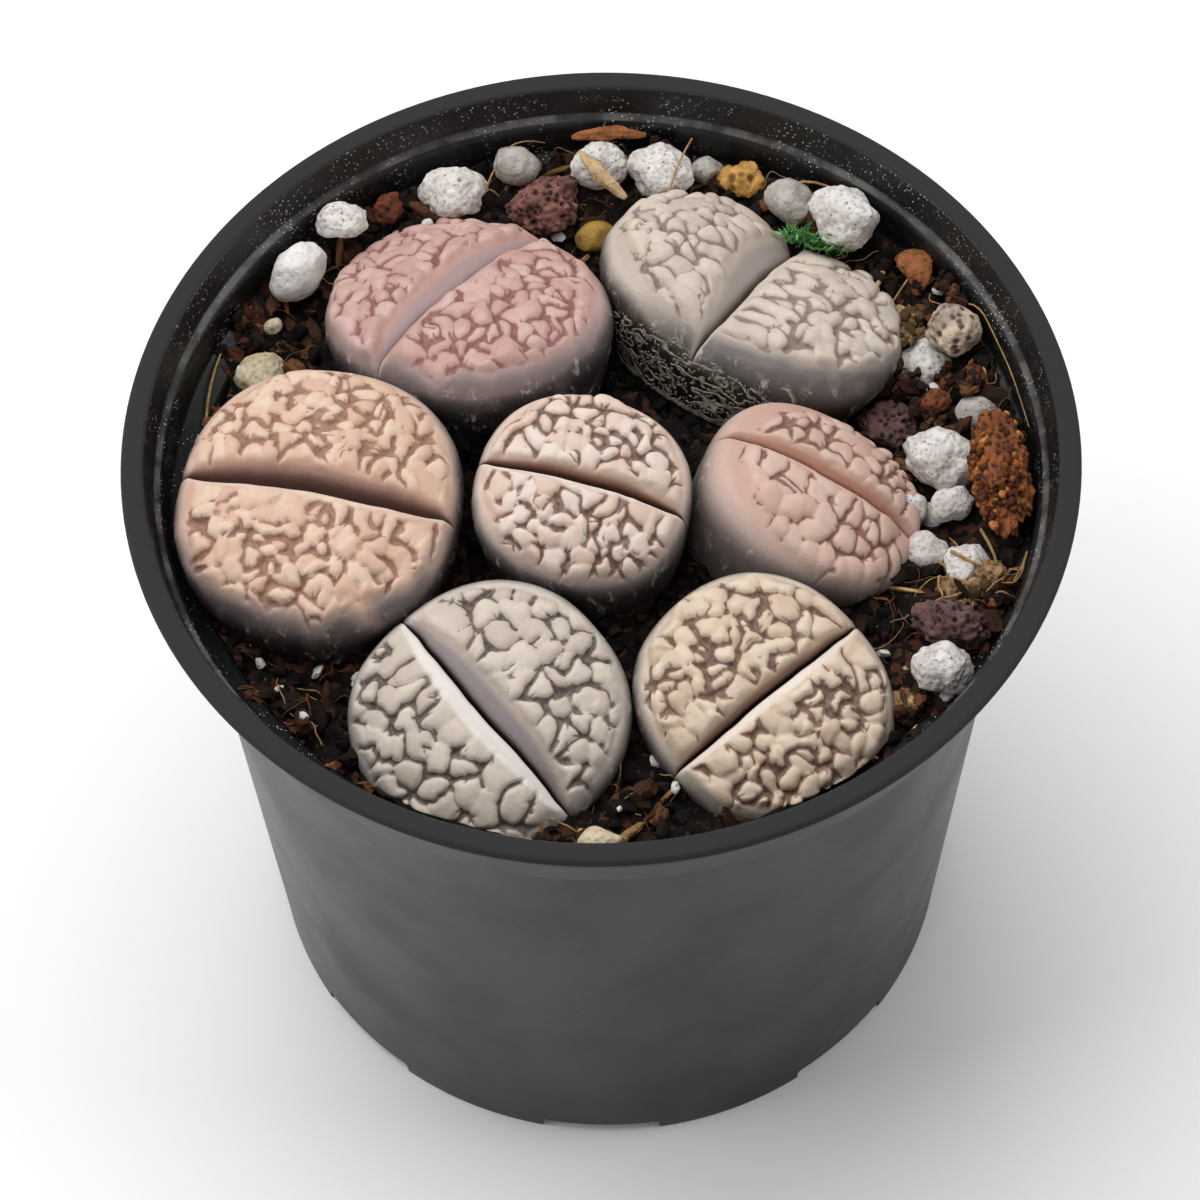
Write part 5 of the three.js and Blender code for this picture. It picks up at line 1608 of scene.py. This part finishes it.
heap_finishes = {
    "rusty_bark": chip_finish,
    "fibrous_bark": make_crumb_finish("fibrous_crumb", 0x4A3826, 0x8A6D4A, 0xB79C74),
    "dark_bark": make_crumb_finish("dark_crumb", 0x1E130E, 0x4A2A1B, 0x7A4A2C),
}
for k, (name, heaps) in enumerate(HEAPS.items()):
    draw = np.random.default_rng(60 + k)
    at, sizes = [], []
    for x, y, depth, radius in heaps:
        for _ in range(HEAP_CRUMBS):
            off = draw.normal(0, 0.42 * radius, 3)
            at.append(np.array([x, y, POT_HEIGHT + depth]) + off * (1, 1, 0.8))
            sizes.append(draw.uniform(0.28, 0.75) * draw.uniform(0.6, 1.3, 3))
    turns = draw.uniform(-2, 2, (len(at), 3))
    heap = copies(rough_ball(2, 7 + k, 0.35), at, sizes, turns, draw.uniform(0, 1, len(at)), name)
    finish_piece(heap, name, heap_finishes[name], angle=CRUMB_ANGLE)

# %% [markdown]
# ## Roots and fibres
# Fine roots lie over the soil and the stones and cling to the wall. A bevelled curve is the
# natural tool for a root; it is turned into a mesh when it has its place.

# %% Fibres
ROOT_GAP = 0.4
ROOT_STEPS = 8


def root_mesh(paths, name, finish, thickness, seed):
    """Thin round roots along lists of points in millimetres."""
    curve = bpy.data.curves.new(name, "CURVE")
    curve.dimensions = "3D"
    curve.bevel_depth = thickness * MM
    curve.bevel_resolution = 1
    curve.use_fill_caps = True
    for k, path in enumerate(paths):
        spline = curve.splines.new("NURBS")
        spline.points.add(len(path) - 1)
        for i, (x, y, z) in enumerate(inside_wall(np.array(path), ROOT_GAP)):
            spline.points[i].co = (x * MM, y * MM, z * MM, 1)
            slim = 1 - 0.6 * i / len(path)
            spline.points[i].radius = slim * (0.6 + 0.8 * float(hashed(k, seed)))
        spline.use_endpoint_u = True
        spline.order_u = 3
        spline.resolution_u = 3
    pick(put_in_scene(name, curve))
    bpy.ops.object.convert(target="MESH")
    finish_piece(bpy.context.object, name, finish)


def wandering(x, y, seed, length, lift):
    """A root that wanders over the soil from a place."""
    draw = np.random.default_rng(seed)
    heading = draw.uniform(0, 2 * math.pi)
    path = []
    for i in range(ROOT_STEPS):
        z = float(lumpy(np.array([x]), np.array([y]))[0])
        arch = lift * math.sin(math.pi * i / (ROOT_STEPS - 1))
        path.append((x, y, z + 0.25 + arch * draw.uniform(0.6, 1.5)))
        heading += draw.normal(0, 0.45)
        x += length / ROOT_STEPS * math.cos(heading)
        y += length / ROOT_STEPS * math.sin(heading)
    return path


root_brown = make_wood("root_brown", 0x7A4B2C, 0x5A3520, 0x2E1B12)
root_tan = make_wood("root_tan", 0xB08C5C, 0x8A683F, 0x5B4026)
for name, finish, count, seed in (("brown_roots", root_brown, 110, 21),
                                  ("tan_roots", root_tan, 70, 22)):
    x, y, draw = scattered(count, seed, inner=20, outer=44, margin=1.02)
    paths = [wandering(px, py, 1000 * seed + i, draw.uniform(3, 9), draw.uniform(0.2, 1.6))
             for i, (px, py) in enumerate(zip(x, y))]
    root_mesh(paths, name, finish, 0.08, seed)

# %% Roots that are seen one by one
LONG_ROOTS = [
    [(40.3, 21.5, -6.0), (40.9, 19.4, -3.6), (42.3, 15.6, -4.2), (44.0, 10.0, -4.0),
     (45.2, 4.2, -4.9)],
    [(35.0, 27.4, -7.0), (33.4, 24.8, -6.2), (31.2, 21.6, -7.6)],
    [(-11.9, 38.9, -6.2), (-10.4, 42.0, -4.6), (-8.0, 44.2, -4.4), (-5.4, 44.9, -6.2)],
    [(20.4, 37.6, -6.0), (23.8, 39.2, -5.0), (27.2, 37.4, -5.6)],
    [(-35.6, 32.6, -6.6), (-34.0, 29.4, -7.0), (-32.6, 27.6, -8.6)],
    [(10.8, 42.6, -3.2), (9.6, 40.2, -3.1), (8.4, 37.6, -4.4), (7.8, 35.8, -6.4)],
    [(39.6, -6.2, -8.4), (41.8, -10.2, -9.0), (43.4, -13.6, -9.4)],
    [(36.4, -8.8, -8.6), (38.6, -11.0, -7.6), (41.6, -12.0, -8.6)],
    [(-43.6, 8.0, -9.6), (-42.4, 13.0, -8.0), (-40.6, 19.0, -8.2)],
]
raised = [[(x, y, POT_HEIGHT + depth) for x, y, depth in path] for path in LONG_ROOTS]
root_mesh(raised, "long_roots", root_tan, 0.17, 5)
TANGLE_ROOTS = 16
draw = np.random.default_rng(33)
tangle = [wandering(draw.normal(38, 2.6), draw.normal(-11.5, 2), 500 + k, draw.uniform(5, 11), 1.8)
          for k in range(TANGLE_ROOTS)]
root_mesh(tangle, "root_tangle", root_tan, 0.13, 9)

# %% [markdown]
# ## Moss
# A tuft of green moss grows between the grey head and the largest pumice. It is made of
# short curved leaves: one leaf is a bent strip, and the tuft is many copies of it.

# %% Moss tuft
bpy.ops.mesh.primitive_plane_add(size=2)
blade = bpy.context.object
edit(blade, "EDGE")
bpy.ops.mesh.select_all(action="SELECT")
bpy.ops.mesh.subdivide(number_cuts=3)
done()
blade_points = places(blade)
bend = blade_points[:, 0] + 1
slim = np.sqrt(np.clip(1 - (blade_points[:, 0] * 0.98) ** 2, 0, 1)) * 0.22
cup = 0.35 * np.abs(blade_points[:, 1]) ** 2 * slim
blade_points = np.column_stack([bend, blade_points[:, 1] * slim, 0.25 * bend**2 + cup])
move_to(blade, blade_points)


def make_moss():
    f = Finish("moss", roughness=0.6, specular=0.3)
    tone = f.mark("tone")
    colour = f.mix(tone, rgb(0x35703C), rgb(0x74B060))
    colour = f.mix(f.span(f.noise(0.8, detail=3), 0.55, 0.7, 0, 0.5), colour, rgb(0x6F7F55))
    return f.close(colour)


MOSS_ALONG = 230
MOSS_IN_TUFT = 70
LEAVES = MOSS_ALONG + MOSS_IN_TUFT
draw = np.random.default_rng(77)
moss_at, moss_sizes = [], []
for _ in range(MOSS_ALONG):
    share = draw.uniform(0, 1)
    x = 20.6 + 6.6 * share + draw.normal(0, 0.35)
    y = 32.3 - 2.6 * share + draw.normal(0, 0.45)
    z = POT_HEIGHT - 7.4 + 1.0 * share + draw.normal(0, 0.45)
    moss_at.append(np.array([x, y, z]))
    moss_sizes.append(draw.uniform(0.35, 0.7) * np.ones(3))
for _ in range(MOSS_IN_TUFT):
    moss_at.append(np.array([26.4, 29.6, POT_HEIGHT - 5.6]) + draw.normal(0, 0.4, 3) * (1, 0.7, 2))
    moss_sizes.append(draw.uniform(0.35, 0.65) * np.ones(3))
turns = np.column_stack([draw.uniform(0, 6.3, LEAVES), draw.normal(0.3, 0.7, LEAVES),
                         draw.normal(-0.6, 0.6, LEAVES)])
moss = copies(blade, moss_at, moss_sizes, turns, draw.uniform(0, 1, LEAVES), "moss")
modify(moss, "SOLIDIFY", thickness=0.03 * MM)
finish_piece(moss, "moss_tuft", make_moss())

# %% [markdown]
# ## The dry sheath
# Last year's leaves shrink to a papery net round the foot of the grey head. It starts as a
# grid that is bent round the head's side; faces are deleted where the tissue has gone, and
# what is left gets a little thickness and creases.

# %% The net of the sheath
def make_paper():
    f = Finish("dry_paper", roughness=0.75, specular=0.25)
    veins = f.noise(0.9, detail=6, rough=0.6, distortion=1.2)
    colour = f.mix(f.span(veins, 0.4, 0.62), rgb(0x6E685C), rgb(0x9F988A))
    return f.close(colour, f.bump(veins, 0.2))


SHEATH_START = 148
SHEATH_SPAN = 62
SHEATH_LENGTH = 22
SHEATH_HEIGHT = 9
SHEATH_FOOT = -11
SHEATH_THICKNESS = 0.12


def make_sheath(head, finish):
    bpy.ops.mesh.primitive_grid_add(x_subdivisions=300, y_subdivisions=110, size=2)
    net = bpy.context.object
    blank = places(net)
    s, t = (blank[:, 0] + 1) / 2, (blank[:, 1] + 1) / 2
    turn = np.radians(SHEATH_START + SHEATH_SPAN * s)
    flat = np.column_stack([s * SHEATH_LENGTH, t * SHEATH_HEIGHT])
    edge = -2.6 - 2.4 * (2 * s - 1) ** 2 + 0.8 * noise(flat * (1, 0), 2.0, 7)
    out = SHEATH_FOOT + t * (edge - SHEATH_FOOT)
    share = side_share(out)
    along, across = outline(head, turn, 1)
    size = np.hypot(along, across)
    crease = 0.35 * noise(flat * (1, 0.35), 0.9, 8) + 0.3 * noise(flat, 2.1, 9)
    lift = 0.35 + np.abs(crease) + 0.7 * (1 - t)
    grown = (share * size + lift) / size
    points = settle(head, along * grown, across * grown, out)
    warp = flat + 0.5 * np.column_stack([noise(flat, 1.3, 31), noise(flat, 1.3, 32)])
    veins = np.abs(noise(warp * (0.55, 1), 1.0, 33))
    fine = np.abs(noise(warp * (0.6, 1), 0.45, 34))
    thin = 0.5 + 0.5 * smooth(t, 1, 0.2)
    keep = (veins < 0.055 * thin) | (fine < 0.024 * thin) | (t < 0.06 + 0.2 * noise(flat, 1.6, 35))
    keep = keep & (t < 0.97) & (s > 0.01) & (s < 0.99)
    move_to(net, points * MM)
    edit_faces(net, lambda face: not any(keep[i] for i in face.vertices))
    bpy.ops.mesh.delete(type="FACE")
    done()
    modify(net, "SOLIDIFY", thickness=SHEATH_THICKNESS * MM, offset=0)
    finish_piece(net, "papery_net", finish, ["dry_sheath"])


make_sheath(HEADS["grey"], make_paper())

# %% [markdown]
# ## Light, floor and camera
# A pale floor and a wide soft light from above and behind, as in a plain product picture,
# with long soft panels at the sides that draw the pale edges on the dark pot. The camera
# looks down steeply at the open pot through a long lens.

# %% Floor and lights
bpy.ops.mesh.primitive_plane_add(size=3)
floor = bpy.context.object
floor.name = "pale_floor"
pale = Finish("pale_floor", roughness=0.9, specular=0.1)
floor.data.materials.append(pale.close(rgb(0xF4F4F4)))
floor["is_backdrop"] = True


def panel(name, at, aim, size, power):
    light = bpy.data.lights.new(name, "AREA")
    light.shape = "RECTANGLE"
    light.size, light.size_y = size
    light.energy = power
    lamp = put_in_scene(name, light)
    lamp.location = at
    lamp.rotation_euler = (Vector(aim) - Vector(at)).to_track_quat("-Z", "Y").to_euler()
    return lamp


panel("key", (-0.16, 0.22, 0.75), (0, 0, 0.07), (0.8, 0.7), 6.2)
panel("left", (-0.6, -0.1, 0.3), (0, 0, 0.05), (0.3, 0.6), 1.5)
panel("right", (0.6, 0.0, 0.35), (0, 0, 0.05), (0.3, 0.6), 1.4)
panel("front", (0.05, -0.8, 0.42), (0, 0, 0.04), (0.35, 0.4), 0.6)
world = bpy.data.worlds.new("studio")
world.use_nodes = True
world.node_tree.nodes["Background"].inputs["Color"].default_value = (1, 1, 1, 1)
world.node_tree.nodes["Background"].inputs["Strength"].default_value = 0.25
bpy.context.scene.world = world
bpy.context.scene.view_settings.view_transform = "Standard"

# %% Camera
ELEVATION = 57.309
AZIMUTH = 0.101
ROLL = -1.391
DISTANCE = 477.357
AIM = Vector((-0.446, 0, 52.117))
LENS = 130.459
SENSOR = 36

lens = bpy.data.cameras.new("view")
lens.lens = LENS
lens.sensor_width = SENSOR
camera = put_in_scene("view", lens)
lift, heading = math.radians(ELEVATION), math.radians(AZIMUTH)
back = Vector((math.sin(heading) * math.cos(lift), -math.cos(heading) * math.cos(lift),
               math.sin(lift)))
camera.location = (AIM + back * DISTANCE) * MM
camera.rotation_euler = (-back).to_track_quat("-Z", "Y").to_euler()
camera.rotation_euler.rotate_axis("Z", math.radians(ROLL))
bpy.context.scene.camera = camera
print("camera at", [round(c, 3) for c in camera.location])

# %% Finish
shown_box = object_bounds()
sizes = {"solids": [list(c) for c in solid_box], "shown": [list(c) for c in shown_box]}
print("sizes:", sizes)
